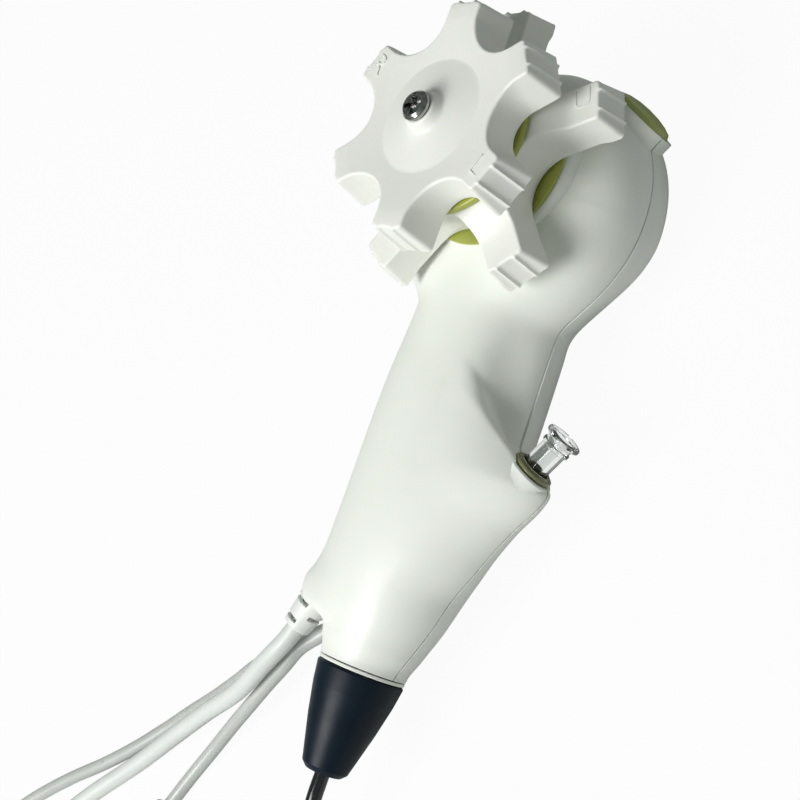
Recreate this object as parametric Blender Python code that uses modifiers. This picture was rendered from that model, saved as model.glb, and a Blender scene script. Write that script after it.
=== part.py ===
"""Flexible endoscope: a two-wheel control handle with its lines, insertion tube and bending tip.

The handle lies on its back on z = 0, the knob axis is +Z, the head points to +Y and the
working channel port to +X. All sizes are in metres.
"""

import math

import bmesh
import bpy
import numpy as np
from mathutils import Matrix, Vector

# Clearances
GAP = 0.0003
RUN = 0.0004
LIFT = 0.0002
LINK_GAP = 0.00014

# Housing
SEAM_Z = 0.018
WALL = 0.0022
HEAD_RADIUS = 0.0315
HEAD_X = -0.001
HEAD_Y = -0.004
HEAD_FRONT = 0.0175
HEAD_BACK = 0.0180
HEAD_SHAPE = 3.2
TAIL_Y = -0.1124
TAIL_RADIUS = 0.0100
SECTION_POINTS = 15
INNER_POINTS = 10

# Control wheels
RL_TIP_RADIUS = 0.0263
RL_LOBES = 6
RL_PHASE = 32.4
RL_HEIGHT = 0.0100
RL_SCALLOP = 0.0177
RL_PAD = 0.0044
RL_FLARE = 0.0011
UD_TIP_RADIUS = 0.0328
UD_LOBES = 5
UD_PHASE = 23.4
UD_HEIGHT = 0.0074
UD_WEB = 0.0045
UD_SCALLOP = 0.0166
UD_PAD = 0.0046
UD_FLARE = 0.0011
UD_FOOT = 0.0007
UD_DROP = 0.0057
UD_CROWN = 0.0035
UD_CROWN_RADIUS = 0.0185
RIB = 0.0006
CREASE_RADIUS = 0.0130
CREASE_DROP = 0.0008
HUB_RADIUS = 0.0047
HUB_RISE = 0.0024
BOSS_RADIUS = 0.0215
BOSS_RISE = 0.0002

# Shafts, drums and their supports
RL_SHAFT_RADIUS = 0.0026
SLEEVE_WALL = 0.0016
BUSH_WALL = 0.0018
BUSH_FLANGE = 0.0014
BUSH_FLANGE_RADIUS = 0.0100
DRUM_RADIUS = 0.0085
DRUM_HEIGHT = 0.0056
DRUM_GROOVE = 0.0012
PLATE_HEIGHT = 0.0044
PLATE_THICKNESS = 0.0022
PLATE_LENGTH = 0.0720
PLATE_WIDTH = 0.0150
PLATE_FOOT_RADIUS = 0.0060
BOARD_LENGTH = 0.0300
BOARD_THICKNESS = 0.0016
WIRE_RADIUS = 0.0003
GUIDE_THICKNESS = 0.0036
CHANNEL_RADIUS = 0.0011
RL_SEAL_RADIUS = 0.0180
UD_SEAL_RADIUS = 0.0193
SCREW_HEAD_RADIUS = 0.0034
SCREW_HEAD_HEIGHT = 0.0016
SCREW_SHANK = 0.0014

# Port
PORT_X = 0.0268
PORT_Y = -0.0608
PORT_RISE = 0.0018
PORT_ANGLE = 58.0
PORT_BORE = 0.0016
PORT_BARREL = 0.0034
PORT_FLANGE = 0.0050
PORT_REACH = 0.0102
PORT_RING_RADIUS = 0.0052

# Head button
BUTTON_X = 0.0198
BUTTON_Y = 0.0217
BUTTON_ANGLE = 58.0
BUTTON_RADIUS = 0.0074
BUTTON_LENGTH = 0.0062
BUTTON_TRAVEL = 0.0015
COLLAR_RADIUS = 0.0088

# Boot
BOOT_LENGTH = 0.0230
BOOT_TIP_RADIUS = 0.0053
BOOT_RING = 0.0007

# Insertion tube
TUBE_RADIUS = 0.00175
TUBE_COIL_RADIUS = 0.0210
TUBE_COIL_TURNS = 2
TUBE_COIL_Y = -0.1985
TUBE_TAIL = 0.0230

# Bending section
HINGES = 8
LINK_PITCH = 0.0040
LINK_WALL = 0.0004
KNUCKLE = 0.00085
LINK_ANGLE = 27.0
LINK_EDGE = 0.0002
COLLAR_LENGTH = 0.0030
TIP_LENGTH = 0.0085
LENS_RADIUS = 0.0006
LED_RADIUS = 0.00035

# Lines at the handle's side
CABLE_RADIUS = 0.0023
CABLE_COIL_RADIUS = 0.0270
CABLE_COIL_TURNS = 4
CABLE_COIL_X = -0.0991
CABLE_COIL_Y = -0.2444
CABLE_TAIL = 0.0350
HEADING_ANGLE = 234.8
PLUG_RADIUS = 0.0055
PLUG_LENGTH = 0.0230
FITTING_LENGTH = 0.0125
FITTING_RADIUS = 0.0034
LINE_RADIUS = 0.00175
RELIEF_LENGTH = 0.0082
RELIEF_RADIUS = 0.0042
OUTLET_ANGLE = 247.5
COIL_PITCH = 2.02

KNOB_Z = SEAM_Z + 0.0420
ORIGIN_X = 0.00137
ORIGIN_Y = -0.05134
STEPS = 32


def new_collection(name):
    """An empty collection linked to the scene."""
    group = bpy.data.collections.new(name)
    bpy.context.scene.collection.children.link(group)
    return group


for old in list(bpy.data.objects):
    bpy.data.objects.remove(old, do_unlink=True)
PARTS = new_collection("flexible_endoscope")
CUTTERS = new_collection("cutters")


def material(name, colour, roughness=0.4, metallic=0.0, transmission=0.0):
    """A Principled material."""
    made = bpy.data.materials.new(name)
    made.use_nodes = True
    shader = made.node_tree.nodes["Principled BSDF"]
    shader.inputs["Base Color"].default_value = (*colour, 1.0)
    shader.inputs["Roughness"].default_value = roughness
    shader.inputs["Metallic"].default_value = metallic
    shader.inputs["Transmission Weight"].default_value = transmission
    return made


def place(name, mesh, looks=None, group=None, smooth=True):
    """An object of a mesh, in the part's collection or in the cutters'."""
    made = bpy.data.objects.new(name, mesh)
    (group or PARTS).objects.link(made)
    if group is CUTTERS:
        made.hide_render = True
        made.display_type = "WIRE"
    if looks:
        mesh.materials.clear()
        mesh.materials.append(looks)
    if smooth:
        mesh.shade_smooth()
        mesh.set_sharp_from_angle(angle=math.radians(32))
    return made


def baked(source, name):
    """The evaluated mesh of an object in world space, welded, with the object removed."""
    bpy.context.view_layer.update()
    view = source.evaluated_get(bpy.context.evaluated_depsgraph_get())
    mesh = bpy.data.meshes.new_from_object(view)
    mesh.transform(source.matrix_world)
    mesh.name = name
    work = bmesh.new()
    work.from_mesh(mesh)
    bmesh.ops.remove_doubles(work, verts=work.verts, dist=0.000002)
    work.to_mesh(mesh)
    work.free()
    bpy.data.objects.remove(source, do_unlink=True)
    return mesh


def along(direction, origin=(0, 0, 0)):
    """A frame at origin whose Z points along direction."""
    turn = Vector(direction).normalized().to_track_quat("Z", "X").to_matrix().to_4x4()
    return Matrix.Translation(Vector(origin)) @ turn


def turned(profile, name, frame=Matrix.Identity(4), steps=STEPS, closed=False):
    """The mesh of a turned body: (radius, height) points down the outer side, top first."""
    mesh = bpy.data.meshes.new(name)
    points = [(r, 0.0, z) for r, z in profile]
    edges = [(i, i + 1) for i in range(len(points) - 1)]
    if closed:
        edges.append((len(points) - 1, 0))
    mesh.from_pydata(points, edges, [])
    made = place(name, mesh, group=CUTTERS, smooth=False)
    made.matrix_world = frame
    screw = made.modifiers.new("turn", "SCREW")
    screw.axis = "Z"
    screw.angle = math.tau
    screw.steps = steps
    screw.render_steps = steps
    screw.use_merge_vertices = True
    screw.merge_threshold = 0.00001
    screw.use_smooth_shade = False
    mesh = baked(made, name)
    work = bmesh.new()
    work.from_mesh(mesh)
    bmesh.ops.recalc_face_normals(work, faces=work.faces)
    work.to_mesh(mesh)
    work.free()
    return mesh


def tube_profile(outer, inner, top, bottom):
    """A closed profile of a plain ring."""
    return [(outer, top), (outer, bottom), (inner, bottom), (inner, top)]


def prism(outline, low, high, name, frame=Matrix.Identity(4)):
    """A flat outline extruded from low to high along its frame's Z."""
    curve = bpy.data.curves.new(name, "CURVE")
    curve.dimensions = "2D"
    curve.fill_mode = "BOTH"
    curve.extrude = (high - low) / 2
    spline = curve.splines.new("POLY")
    spline.points.add(len(outline) - 1)
    for point, (x, y) in zip(spline.points, outline, strict=True):
        point.co = (x, y, 0.0, 1.0)
    spline.use_cyclic_u = True
    made = bpy.data.objects.new(name, curve)
    CUTTERS.objects.link(made)
    made.matrix_world = frame @ Matrix.Translation((0, 0, (high + low) / 2))
    mesh = baked(made, name)
    work = bmesh.new()
    work.from_mesh(mesh)
    bmesh.ops.recalc_face_normals(work, faces=work.faces)
    work.to_mesh(mesh)
    work.free()
    return mesh


def block(size, centre, name, frame=Matrix.Identity(4)):
    """A box of that size about a centre."""
    mesh = bpy.data.meshes.new(name)
    work = bmesh.new()
    bmesh.ops.create_cube(work, size=1.0)
    bmesh.ops.scale(work, vec=size, verts=work.verts)
    bmesh.ops.translate(work, vec=centre, verts=work.verts)
    bmesh.ops.transform(work, matrix=frame, verts=work.verts)
    work.to_mesh(mesh)
    work.free()
    return mesh


def rod(radius, start, end, name, sides=24):
    """A plain cylinder between two points."""
    start = Vector(start)
    end = Vector(end)
    length = (end - start).length
    mesh = bpy.data.meshes.new(name)
    work = bmesh.new()
    bmesh.ops.create_cone(
        work, cap_ends=True, segments=sides, radius1=radius, radius2=radius, depth=length
    )
    work.to_mesh(mesh)
    work.free()
    mesh.transform(along(end - start, (start + end) / 2))
    return mesh


def combined(base, steps, name):
    """A mesh after a list of (operation, mesh) booleans."""
    made = place(name, base, group=CUTTERS, smooth=False)
    tools = []
    for number, (operation, mesh) in enumerate(steps):
        tool = place(f"{name}_tool_{number}", mesh, group=CUTTERS, smooth=False)
        cut = made.modifiers.new(f"cut_{number}", "BOOLEAN")
        cut.operation = operation
        cut.solver = "EXACT"
        cut.object = tool
        tools.append(tool)
    mesh = baked(made, name)
    for tool in tools:
        bpy.data.objects.remove(tool, do_unlink=True)
    return mesh


def cord(name, points, radius, looks, resolution=2):
    """A round cord through a list of points."""
    curve = bpy.data.curves.new(name, "CURVE")
    curve.dimensions = "3D"
    curve.bevel_depth = radius
    curve.bevel_resolution = resolution
    curve.use_fill_caps = True
    spline = curve.splines.new("POLY")
    spline.points.add(len(points) - 1)
    for point, place_at in zip(spline.points, points, strict=True):
        point.co = (*place_at, 1.0)
    made = bpy.data.objects.new(name, curve)
    PARTS.objects.link(made)
    curve.materials.append(looks)
    return made


def smooth_route(route, spacing):
    """Points at an even spacing on a smooth curve through a route's own points."""
    route = np.array(route, float)
    padded = np.vstack([2 * route[0] - route[1], route, 2 * route[-1] - route[-2]])
    fine = [route[0]]
    for before, start, end, after in zip(padded, padded[1:], padded[2:], padded[3:]):
        knots = [0.0]
        for a, b in ((before, start), (start, end), (end, after)):
            knots.append(knots[-1] + math.sqrt(np.linalg.norm(b - a)))
        for t in np.linspace(knots[1], knots[2], 25)[1:]:
            rows = [before, start, end, after]
            times = knots
            level = 1
            while len(rows) > 1:
                rows = [
                    rows[i] * (times[i + level] - t) / (times[i + level] - times[i])
                    + rows[i + 1] * (t - times[i]) / (times[i + level] - times[i])
                    for i in range(len(rows) - 1)
                ] if level < 3 else [
                    rows[0] * (times[2] - t) / (times[2] - times[1])
                    + rows[1] * (t - times[1]) / (times[2] - times[1])
                ]
                level += 1
            fine.append(rows[0])
    fine = np.array(fine)
    reach = np.concatenate([[0], np.cumsum(np.linalg.norm(np.diff(fine, axis=0), axis=1))])
    count = max(2, round(reach[-1] / spacing) + 1)
    at = np.linspace(0, reach[-1], count)
    return [tuple(np.interp(s, reach, fine[:, k]) for k in range(3)) for s in at]


def interpolated(table, at, column):
    """A smooth value between the rows of a table, whose first column falls along the handle."""
    where = [row[0] for row in table]
    values = [row[column] for row in table]
    if at >= where[0]:
        return values[0]
    if at <= where[-1]:
        return values[-1]
    slopes = [0.0] * len(where)
    for i in range(1, len(where) - 1):
        before = (values[i] - values[i - 1]) / (where[i] - where[i - 1])
        after = (values[i + 1] - values[i]) / (where[i + 1] - where[i])
        if before * after > 0:
            slopes[i] = 2 * before * after / (before + after)
    i = next(k for k in range(len(where) - 1) if at >= where[k + 1])
    span = where[i + 1] - where[i]
    t = (at - where[i]) / span
    return (
        (1 + 2 * t) * (1 - t) ** 2 * values[i]
        + t * (1 - t) ** 2 * span * slopes[i]
        + t * t * (3 - 2 * t) * values[i + 1]
        + t * t * (t - 1) * span * slopes[i + 1]
    )


# The grip below the head: place along the handle, right and left half widths, front and back.
GRIP = (
    (-0.018, 0.0195, 0.0165, 0.0168, 0.0174),
    (-0.035, 0.0200, 0.0165, 0.0166, 0.0176),
    (-0.052, 0.0208, 0.0178, 0.0170, 0.0174),
    (-0.068, 0.0206, 0.0182, 0.0170, 0.0162),
    (-0.084, 0.0190, 0.0176, 0.0158, 0.0144),
    (-0.098, 0.0155, 0.0150, 0.0136, 0.0128),
    (-0.107, 0.0120, 0.0118, 0.0113, 0.0111),
    (TAIL_Y, TAIL_RADIUS, TAIL_RADIUS, TAIL_RADIUS, TAIL_RADIUS),
)
# The shoulder that carries the port, and the bulge that the lines leave from.
SHOULDER = (
    (-0.0562, 0.0),
    (-0.0600, 0.0050),
    (-0.0646, 0.0112),
    (-0.0668, 0.0105),
    (-0.0747, 0.0058),
    (-0.0841, 0.0022),
    (-0.0940, 0.0),
)
OUTLET = (
    (-0.0700, 0.0),
    (-0.0860, 0.0022),
    (-0.0910, 0.0038),
    (-0.0950, 0.0064),
    (-0.0985, 0.0094),
    (-0.1015, 0.0104),
    (-0.1032, 0.0098),
    (-0.1062, 0.0),
)
SCOOP = (
    (-0.0260, 0.0),
    (-0.0440, 0.0020),
    (-0.0560, 0.0006),
    (-0.0680, 0.0),
)
BUMP_FRONT = 0.0150
BUMP_BACK = 0.0100


def blend(first, second, sharpness):
    """A soft maximum of two half widths."""
    return (first**sharpness + second**sharpness) ** (1 / sharpness)


def section(at, inset=0.0, count=SECTION_POINTS):
    """The closed outline of the housing across the handle at a place along it."""
    head = max(HEAD_RADIUS**2 - (at - HEAD_Y) ** 2, 0.0) ** 0.5
    rise = max(1 - (abs(at - HEAD_Y) / HEAD_RADIUS) ** HEAD_SHAPE, 0.0) ** (1 / HEAD_SHAPE)
    inside = at < HEAD_Y
    right = blend(head + HEAD_X, interpolated(GRIP, at, 1), 9) if inside else head + HEAD_X
    left = blend(head - HEAD_X, interpolated(GRIP, at, 2), 9) if inside else head - HEAD_X
    front = blend(HEAD_FRONT * rise, interpolated(GRIP, at, 3), 40) if inside else HEAD_FRONT * rise
    back = blend(HEAD_BACK * rise, interpolated(GRIP, at, 4), 40) if inside else HEAD_BACK * rise
    headness = min(max((at - HEAD_Y + 0.030) / 0.022, 0.0), 1.0)
    power = 2.05 + 0.75 * headness * headness * (3 - 2 * headness)
    shoulder = interpolated(SHOULDER, at, 1) if inset == 0 else 0.0
    outlet = interpolated(OUTLET, at, 1) if inset == 0 else 0.0
    scoop = interpolated(SCOOP, at, 1)
    points = []
    for i in range(2 * count):
        angle = math.pi * i / count
        across = math.cos(angle)
        up = math.sin(angle)
        wide = max((right if across > 0 else left) - inset, 0.00002)
        tall = max((front if up > 0 else back) - inset, 0.00002)
        x = wide * math.copysign(abs(across) ** (2 / power), across)
        z = tall * math.copysign(abs(up) ** (2 / power), up)
        swell = max(1 - (z / (BUMP_FRONT if z > 0 else BUMP_BACK)) ** 2, 0.0) ** 1.5
        if across > 0:
            x += shoulder * swell
            dip = math.exp(-(((math.degrees(angle) - 42) / 20) ** 2)) if up > 0 else 0.0
            x -= scoop * dip
            z -= 0.6 * scoop * dip
        elif across < 0:
            x -= outlet * swell
        points.append((x, at, SEAM_Z + z))
    return points


def loft(places, inset, name, count=SECTION_POINTS):
    """A closed body through the housing's sections at those places."""
    work = bmesh.new()
    rings = [[work.verts.new(p) for p in section(at, inset, count)] for at in places]
    for first, second in zip(rings, rings[1:]):
        for i in range(len(first)):
            j = (i + 1) % len(first)
            work.faces.new((first[i], first[j], second[j], second[i]))
    work.faces.new(rings[0])
    work.faces.new(rings[-1])
    bmesh.ops.recalc_face_normals(work, faces=work.faces)
    mesh = bpy.data.meshes.new(name)
    work.to_mesh(mesh)
    work.free()
    return mesh


def housing_places():
    """Places along the handle, closer together round the head's end and the port shoulder."""
    crown = [
        HEAD_Y + (HEAD_RADIUS - 0.00004) * math.cos(math.radians(a))
        for a in np.linspace(0, 90, 8)
    ]
    marks = [-0.012, -0.020, -0.026, -0.032, -0.039, -0.046, -0.0530]
    marks += [-0.0570, -0.0590, -0.0612, -0.0634, -0.0646, -0.0660, -0.0690]
    marks += [-0.0735, -0.0790, -0.0850, -0.0905, -0.0960, -0.0992, -0.1015, -0.1036]
    marks += [-0.1048, -0.1064, -0.1094]
    return crown + marks + [TAIL_Y]


def facing(angle):
    """A level direction at an angle from +X."""
    return Vector((math.cos(math.radians(angle)), math.sin(math.radians(angle)), 0.0))


PORT_AXIS = facing(PORT_ANGLE)
PORT_SEAT = Vector((PORT_X, PORT_Y, SEAM_Z + PORT_RISE))
BUTTON_AXIS = facing(BUTTON_ANGLE)
BUTTON_FACE = Vector((BUTTON_X, BUTTON_Y, SEAM_Z))
OUTLET_AXIS = facing(OUTLET_ANGLE)
RELIEF_SEAT = Vector((-0.0213, -0.1030, SEAM_Z))
LINE_EXITS = (
    (Vector((-0.0158, -0.1040, 0.0125)), Vector((-0.66, -0.75, -0.02))),
    (Vector((-0.0105, -0.0990, 0.0085)), Vector((-0.80, -0.59, -0.02))),
)
RL_TOP = KNOB_Z
RL_UNDER = KNOB_Z - RL_HEIGHT
UD_TOP = RL_UNDER - UD_DROP
UD_CROWN_Z = UD_TOP + UD_CROWN
UD_UNDER = UD_TOP - UD_HEIGHT
FACE_Z = SEAM_Z + HEAD_FRONT
BOSS_TOP = FACE_Z + BOSS_RISE
SLEEVE_BORE = RL_SHAFT_RADIUS + RUN
SLEEVE_RADIUS = SLEEVE_BORE + SLEEVE_WALL
BUSH_BORE = SLEEVE_RADIUS + RUN
BUSH_RADIUS = BUSH_BORE + BUSH_WALL
FLOOR_Z = SEAM_Z - HEAD_BACK + WALL
PLATE_BOTTOM = FLOOR_Z + PLATE_HEIGHT
PLATE_TOP = PLATE_BOTTOM + PLATE_THICKNESS
RL_DRUM_Z = PLATE_TOP + 0.0012
UD_DRUM_Z = RL_DRUM_Z + DRUM_HEIGHT + RUN
DRUM_TOP = UD_DRUM_Z + DRUM_HEIGHT
TAIL_INNER = TAIL_RADIUS - WALL
GUIDE_Y = TAIL_Y + 0.0006
BOOT_Y = TAIL_Y - GAP - BOOT_RING - GAP
HUB_TOP = RL_TOP + HUB_RISE
SHAFT_TOP = HUB_TOP - 0.0022
TUBE_COIL_TURN = TUBE_COIL_RADIUS + TUBE_RADIUS * COIL_PITCH * (TUBE_COIL_TURNS - 1) / 2
CABLE_COIL_TURN = CABLE_COIL_RADIUS + CABLE_RADIUS * COIL_PITCH * (CABLE_COIL_TURNS - 1) / 2
BEND_X = 2 * TUBE_COIL_TURN
BEND_Y = TUBE_COIL_Y + TUBE_TAIL
BEND_Z = TUBE_RADIUS + LIFT
HINGE_Y = BEND_Y + COLLAR_LENGTH

PLASTIC = material("housing_white", (0.80, 0.83, 0.78), 0.42)
WHEEL = material("wheel_white", (0.83, 0.84, 0.78), 0.45)
OLIVE = material("olive_seal", (0.28, 0.34, 0.08), 0.4)
BLACK = material("boot_black", (0.012, 0.014, 0.018), 0.4)
CLEAR = material("clear_port", (0.85, 0.88, 0.86), 0.05, transmission=0.9)
STEEL = material("steel", (0.62, 0.63, 0.64), 0.25, 1.0)
BRASS = material("drum_brass", (0.66, 0.48, 0.20), 0.35, 1.0)
GLASS = material("lens_glass", (0.9, 0.93, 0.95), 0.02, transmission=0.95)
BOARD = material("board_green", (0.02, 0.16, 0.07), 0.5)
SHEATH = material("tube_black", (0.010, 0.010, 0.012), 0.18)
CABLE = material("cable_white", (0.78, 0.80, 0.77), 0.4)
TUBING = material("tubing_clear", (0.55, 0.60, 0.56), 0.2, transmission=0.3)


def shift(points, origin, direction):
    """A point at a distance along an axis from an origin."""
    return Vector(origin) + Vector(direction).normalized() * points


def make_housing():
    """The front and back shells: a loft, hollowed, bored and parted at the seam."""
    places = housing_places()
    inner = [p for p in places[::2] if p < HEAD_Y + HEAD_RADIUS - WALL - 0.0003]
    inner = [HEAD_Y + HEAD_RADIUS - WALL - 0.0002] + inner[:-1] + [TAIL_Y, TAIL_Y - 0.003]
    collar = rod(COLLAR_RADIUS, shift(-0.008, BUTTON_FACE, BUTTON_AXIS),
                 shift(-0.0007, BUTTON_FACE, BUTTON_AXIS), "collar", 36)
    bush_hole = rod(BUSH_RADIUS + GAP, (0, 0, FACE_Z - 0.010), (0, 0, FACE_Z + 0.010), "bush_hole", 36)
    boss = turned([(0, BOSS_TOP), (BOSS_RADIUS, BOSS_TOP), (BOSS_RADIUS + 0.0010, FACE_Z - 0.0050),
                   (0, FACE_Z - 0.0050)], "boss")
    steps = [("UNION", collar), ("UNION", boss)]
    steps.append(("DIFFERENCE", loft(inner, WALL, "inside", INNER_POINTS)))
    steps.append(("DIFFERENCE", bush_hole))
    depth = BUTTON_LENGTH + BUTTON_TRAVEL + 0.0063
    button_hole = rod(BUTTON_RADIUS + GAP, shift(-depth, BUTTON_FACE, BUTTON_AXIS),
                      shift(0.006, BUTTON_FACE, BUTTON_AXIS), "button_hole", 36)
    steps.append(("DIFFERENCE", button_hole))
    port_hole = rod(PORT_BARREL + 0.0009 + GAP, shift(-0.021, PORT_SEAT, PORT_AXIS),
                    shift(0.004, PORT_SEAT, PORT_AXIS), "port_hole", 32)
    steps.append(("DIFFERENCE", port_hole))
    port_seat = rod(PORT_RING_RADIUS + GAP, PORT_SEAT,
                    shift(0.006, PORT_SEAT, PORT_AXIS), "port_seat", 32)
    steps.append(("DIFFERENCE", port_seat))
    relief_hole = rod(RELIEF_RADIUS - 0.0010 + GAP, shift(-0.020, RELIEF_SEAT, OUTLET_AXIS),
                      shift(0.012, RELIEF_SEAT, OUTLET_AXIS), "relief_hole", 28)
    steps.append(("DIFFERENCE", relief_hole))
    relief_seat = rod(RELIEF_RADIUS + GAP, RELIEF_SEAT,
                      shift(0.012, RELIEF_SEAT, OUTLET_AXIS), "relief_seat", 28)
    steps.append(("DIFFERENCE", relief_seat))
    for number, (exit_at, heading) in enumerate(LINE_EXITS):
        hole = rod(LINE_RADIUS + GAP, shift(-0.012, exit_at, heading),
                   shift(0.008, exit_at, heading), f"line_hole_{number}", 20)
        steps.append(("DIFFERENCE", hole))
    whole = combined(loft(places, 0.0, "casing"), steps, "casing")
    low = block((0.2, 0.4, 0.1), (0, -0.05, SEAM_Z - 0.05 + GAP / 2), "low")
    high = block((0.2, 0.4, 0.1), (0, -0.05, SEAM_Z + 0.05 - GAP / 2), "high")
    place("front_shell", combined(whole.copy(), [("DIFFERENCE", low)], "front_shell"), PLASTIC)
    place("back_shell", combined(whole, [("DIFFERENCE", high)], "back_shell"), PLASTIC)


def wheel_outline(radius, lobes, phase, scallop, pad):
    """A lobed outline: straight sided lobes with two ribs on each tip, round scallops between them."""
    half = math.pi / lobes
    bow = (scallop * math.sin(half) - pad) / (1 - math.sin(half))
    middle = scallop + bow
    opening = math.pi / 2 - half
    outline = []
    for lobe in range(lobes):
        turn = math.radians(phase) + 2 * half * lobe
        rib = pad * 0.5
        low = radius - RIB
        tip = [
            (low - 0.0010, -pad), (low, -pad + 0.0008), (low, -rib - 0.0006), (radius, -rib),
            (low, -rib + 0.0006), (low, rib - 0.0006), (radius, rib), (low, rib + 0.0006),
            (low, pad - 0.0008), (low - 0.0010, pad),
        ]
        for u, v in tip:
            outline.append((u * math.cos(turn) - v * math.sin(turn),
                            u * math.sin(turn) + v * math.cos(turn)))
        between = turn + half
        for k in range(9):
            swing = -opening + 2 * opening * k / 8
            u = middle - bow * math.cos(swing)
            v = bow * math.sin(swing)
            outline.append((u * math.cos(between) - v * math.sin(between),
                            u * math.sin(between) + v * math.cos(between)))
    return outline


def flared(radius, lobes, phase, scallop, pad, flare, foot, top, high, name):
    """A lobed solid whose lobes grow by the flare from the top down to the foot, straight above the top."""
    wide = wheel_outline(radius + flare, lobes, phase, scallop - flare / 2, pad + flare)
    plain = wheel_outline(radius, lobes, phase, scallop, pad)
    count = len(plain)
    vertices = [(x, y, z) for outline, z in ((wide, foot), (plain, top), (plain, high)) for x, y in outline]
    faces = [tuple(reversed(range(count))), tuple(range(2 * count, 3 * count))]
    for row in range(2):
        for k in range(count):
            start = row * count + k
            after = row * count + (k + 1) % count
            faces.append((start, after, after + count, start + count))
    mesh = bpy.data.meshes.new(name)
    mesh.from_pydata(vertices, [], faces)
    return mesh


def make_rl_wheel():
    """The outer wheel: six flared lobes, a dished face and a raised hub."""
    lobed = flared(RL_TIP_RADIUS, RL_LOBES, RL_PHASE, RL_SCALLOP, RL_PAD, RL_FLARE, RL_UNDER, RL_TOP,
                   RL_TOP + 0.006, "rl_outline")
    far = RL_TIP_RADIUS + RL_FLARE + 0.002
    neck = RL_SHAFT_RADIUS + GAP
    profile = [
        (neck, HUB_TOP), (HUB_RADIUS - 0.0010, HUB_TOP),
        (HUB_RADIUS, RL_TOP + 0.0009), (CREASE_RADIUS, RL_TOP - CREASE_DROP),
        (RL_TIP_RADIUS - 0.0030, RL_TOP), (far, RL_TOP), (far, RL_UNDER),
        (RL_SCALLOP - 0.0030, RL_UNDER), (RL_SCALLOP - 0.0040, RL_UNDER + 0.0028),
        (SLEEVE_RADIUS + 0.0012, RL_UNDER + 0.0028), (SLEEVE_RADIUS + 0.0010, RL_UNDER + 0.0002),
        (neck, RL_UNDER + 0.0002),
    ]
    body = turned(profile, "rl_body", closed=True, steps=36)
    place("rl_wheel", combined(lobed, [("INTERSECT", body)], "rl_wheel"), WHEEL)


def make_ud_wheel():
    """The inner wheel: five flared lobes with a foot under each tip, and a raised middle."""
    foot = UD_UNDER - UD_FOOT
    lobed = flared(UD_TIP_RADIUS, UD_LOBES, UD_PHASE, UD_SCALLOP, UD_PAD, UD_FLARE, foot, UD_TOP,
                   UD_CROWN_Z + 0.001, "ud_outline")
    far = UD_TIP_RADIUS + UD_FLARE + 0.002
    bore = SLEEVE_RADIUS + GAP
    recess = UD_SCALLOP - 0.0035
    profile = [
        (bore, UD_CROWN_Z), (UD_CROWN_RADIUS, UD_CROWN_Z), (UD_CROWN_RADIUS + 0.0022, UD_CROWN_Z - 0.0008),
        (UD_CROWN_RADIUS + 0.0050, UD_TOP + 0.0005), (UD_CROWN_RADIUS + 0.0072, UD_TOP), (far, UD_TOP),
        (far, foot), (UD_TIP_RADIUS - 0.0026, foot), (UD_TIP_RADIUS - 0.0034, UD_UNDER),
        (recess, UD_UNDER), (recess - 0.0008, UD_TOP - UD_WEB), (bore, UD_TOP - UD_WEB),
    ]
    body = turned(profile, "ud_body", closed=True, steps=36)
    place("ud_wheel", combined(lobed, [("INTERSECT", body)], "ud_wheel"), WHEEL)


def make_shafts():
    """The inner shaft and its drum, the sleeve and its drum, the fixed bush and the seals."""
    bore = SCREW_SHANK + GAP
    profile = [
        (RL_SHAFT_RADIUS, SHAFT_TOP), (RL_SHAFT_RADIUS, PLATE_BOTTOM + GAP),
        (0, PLATE_BOTTOM + GAP), (0, SHAFT_TOP - 0.0070), (bore, SHAFT_TOP - 0.0062),
        (bore, SHAFT_TOP),
    ]
    place("rl_shaft", turned(profile + profile[:1], "rl_shaft", steps=24), STEEL)
    ring = tube_profile(SLEEVE_RADIUS, SLEEVE_BORE, RL_UNDER - RUN, UD_DRUM_Z)
    place("ud_sleeve", turned(ring, "ud_sleeve", steps=28, closed=True), STEEL)
    flange = BOSS_TOP + GAP
    profile = [
        (BUSH_FLANGE_RADIUS, flange + BUSH_FLANGE), (BUSH_FLANGE_RADIUS, flange),
        (BUSH_RADIUS, flange), (BUSH_RADIUS, DRUM_TOP + 0.0010),
        (BUSH_BORE, DRUM_TOP + 0.0010), (BUSH_BORE, flange + BUSH_FLANGE),
    ]
    place("bearing_bush", turned(profile, "bearing_bush", steps=24, closed=True), STEEL)
    for name, low, bore in (("rl_drum", RL_DRUM_Z, RL_SHAFT_RADIUS + GAP),
                            ("ud_drum", UD_DRUM_Z, SLEEVE_RADIUS + GAP)):
        middle = low + DRUM_HEIGHT / 2
        edge = DRUM_RADIUS
        profile = [
            (edge, low + DRUM_HEIGHT), (edge, middle + 0.0016), (edge - DRUM_GROOVE, middle + 0.0008),
            (edge - DRUM_GROOVE, middle - 0.0008), (edge, middle - 0.0016), (edge, low),
            (bore, low), (bore, low + DRUM_HEIGHT),
        ]
        place(name, turned(profile, name, steps=20, closed=True), BRASS)
    ring = tube_profile(RL_SEAL_RADIUS, SLEEVE_RADIUS + GAP, RL_UNDER - RUN, UD_CROWN_Z + GAP)
    place("rl_seal", turned(ring, "rl_seal", closed=True), OLIVE)
    ring = tube_profile(UD_SEAL_RADIUS, BUSH_FLANGE_RADIUS + GAP, UD_UNDER - RUN, BOSS_TOP + GAP)
    place("ud_seal", turned(ring, "ud_seal", closed=True), OLIVE)


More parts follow.
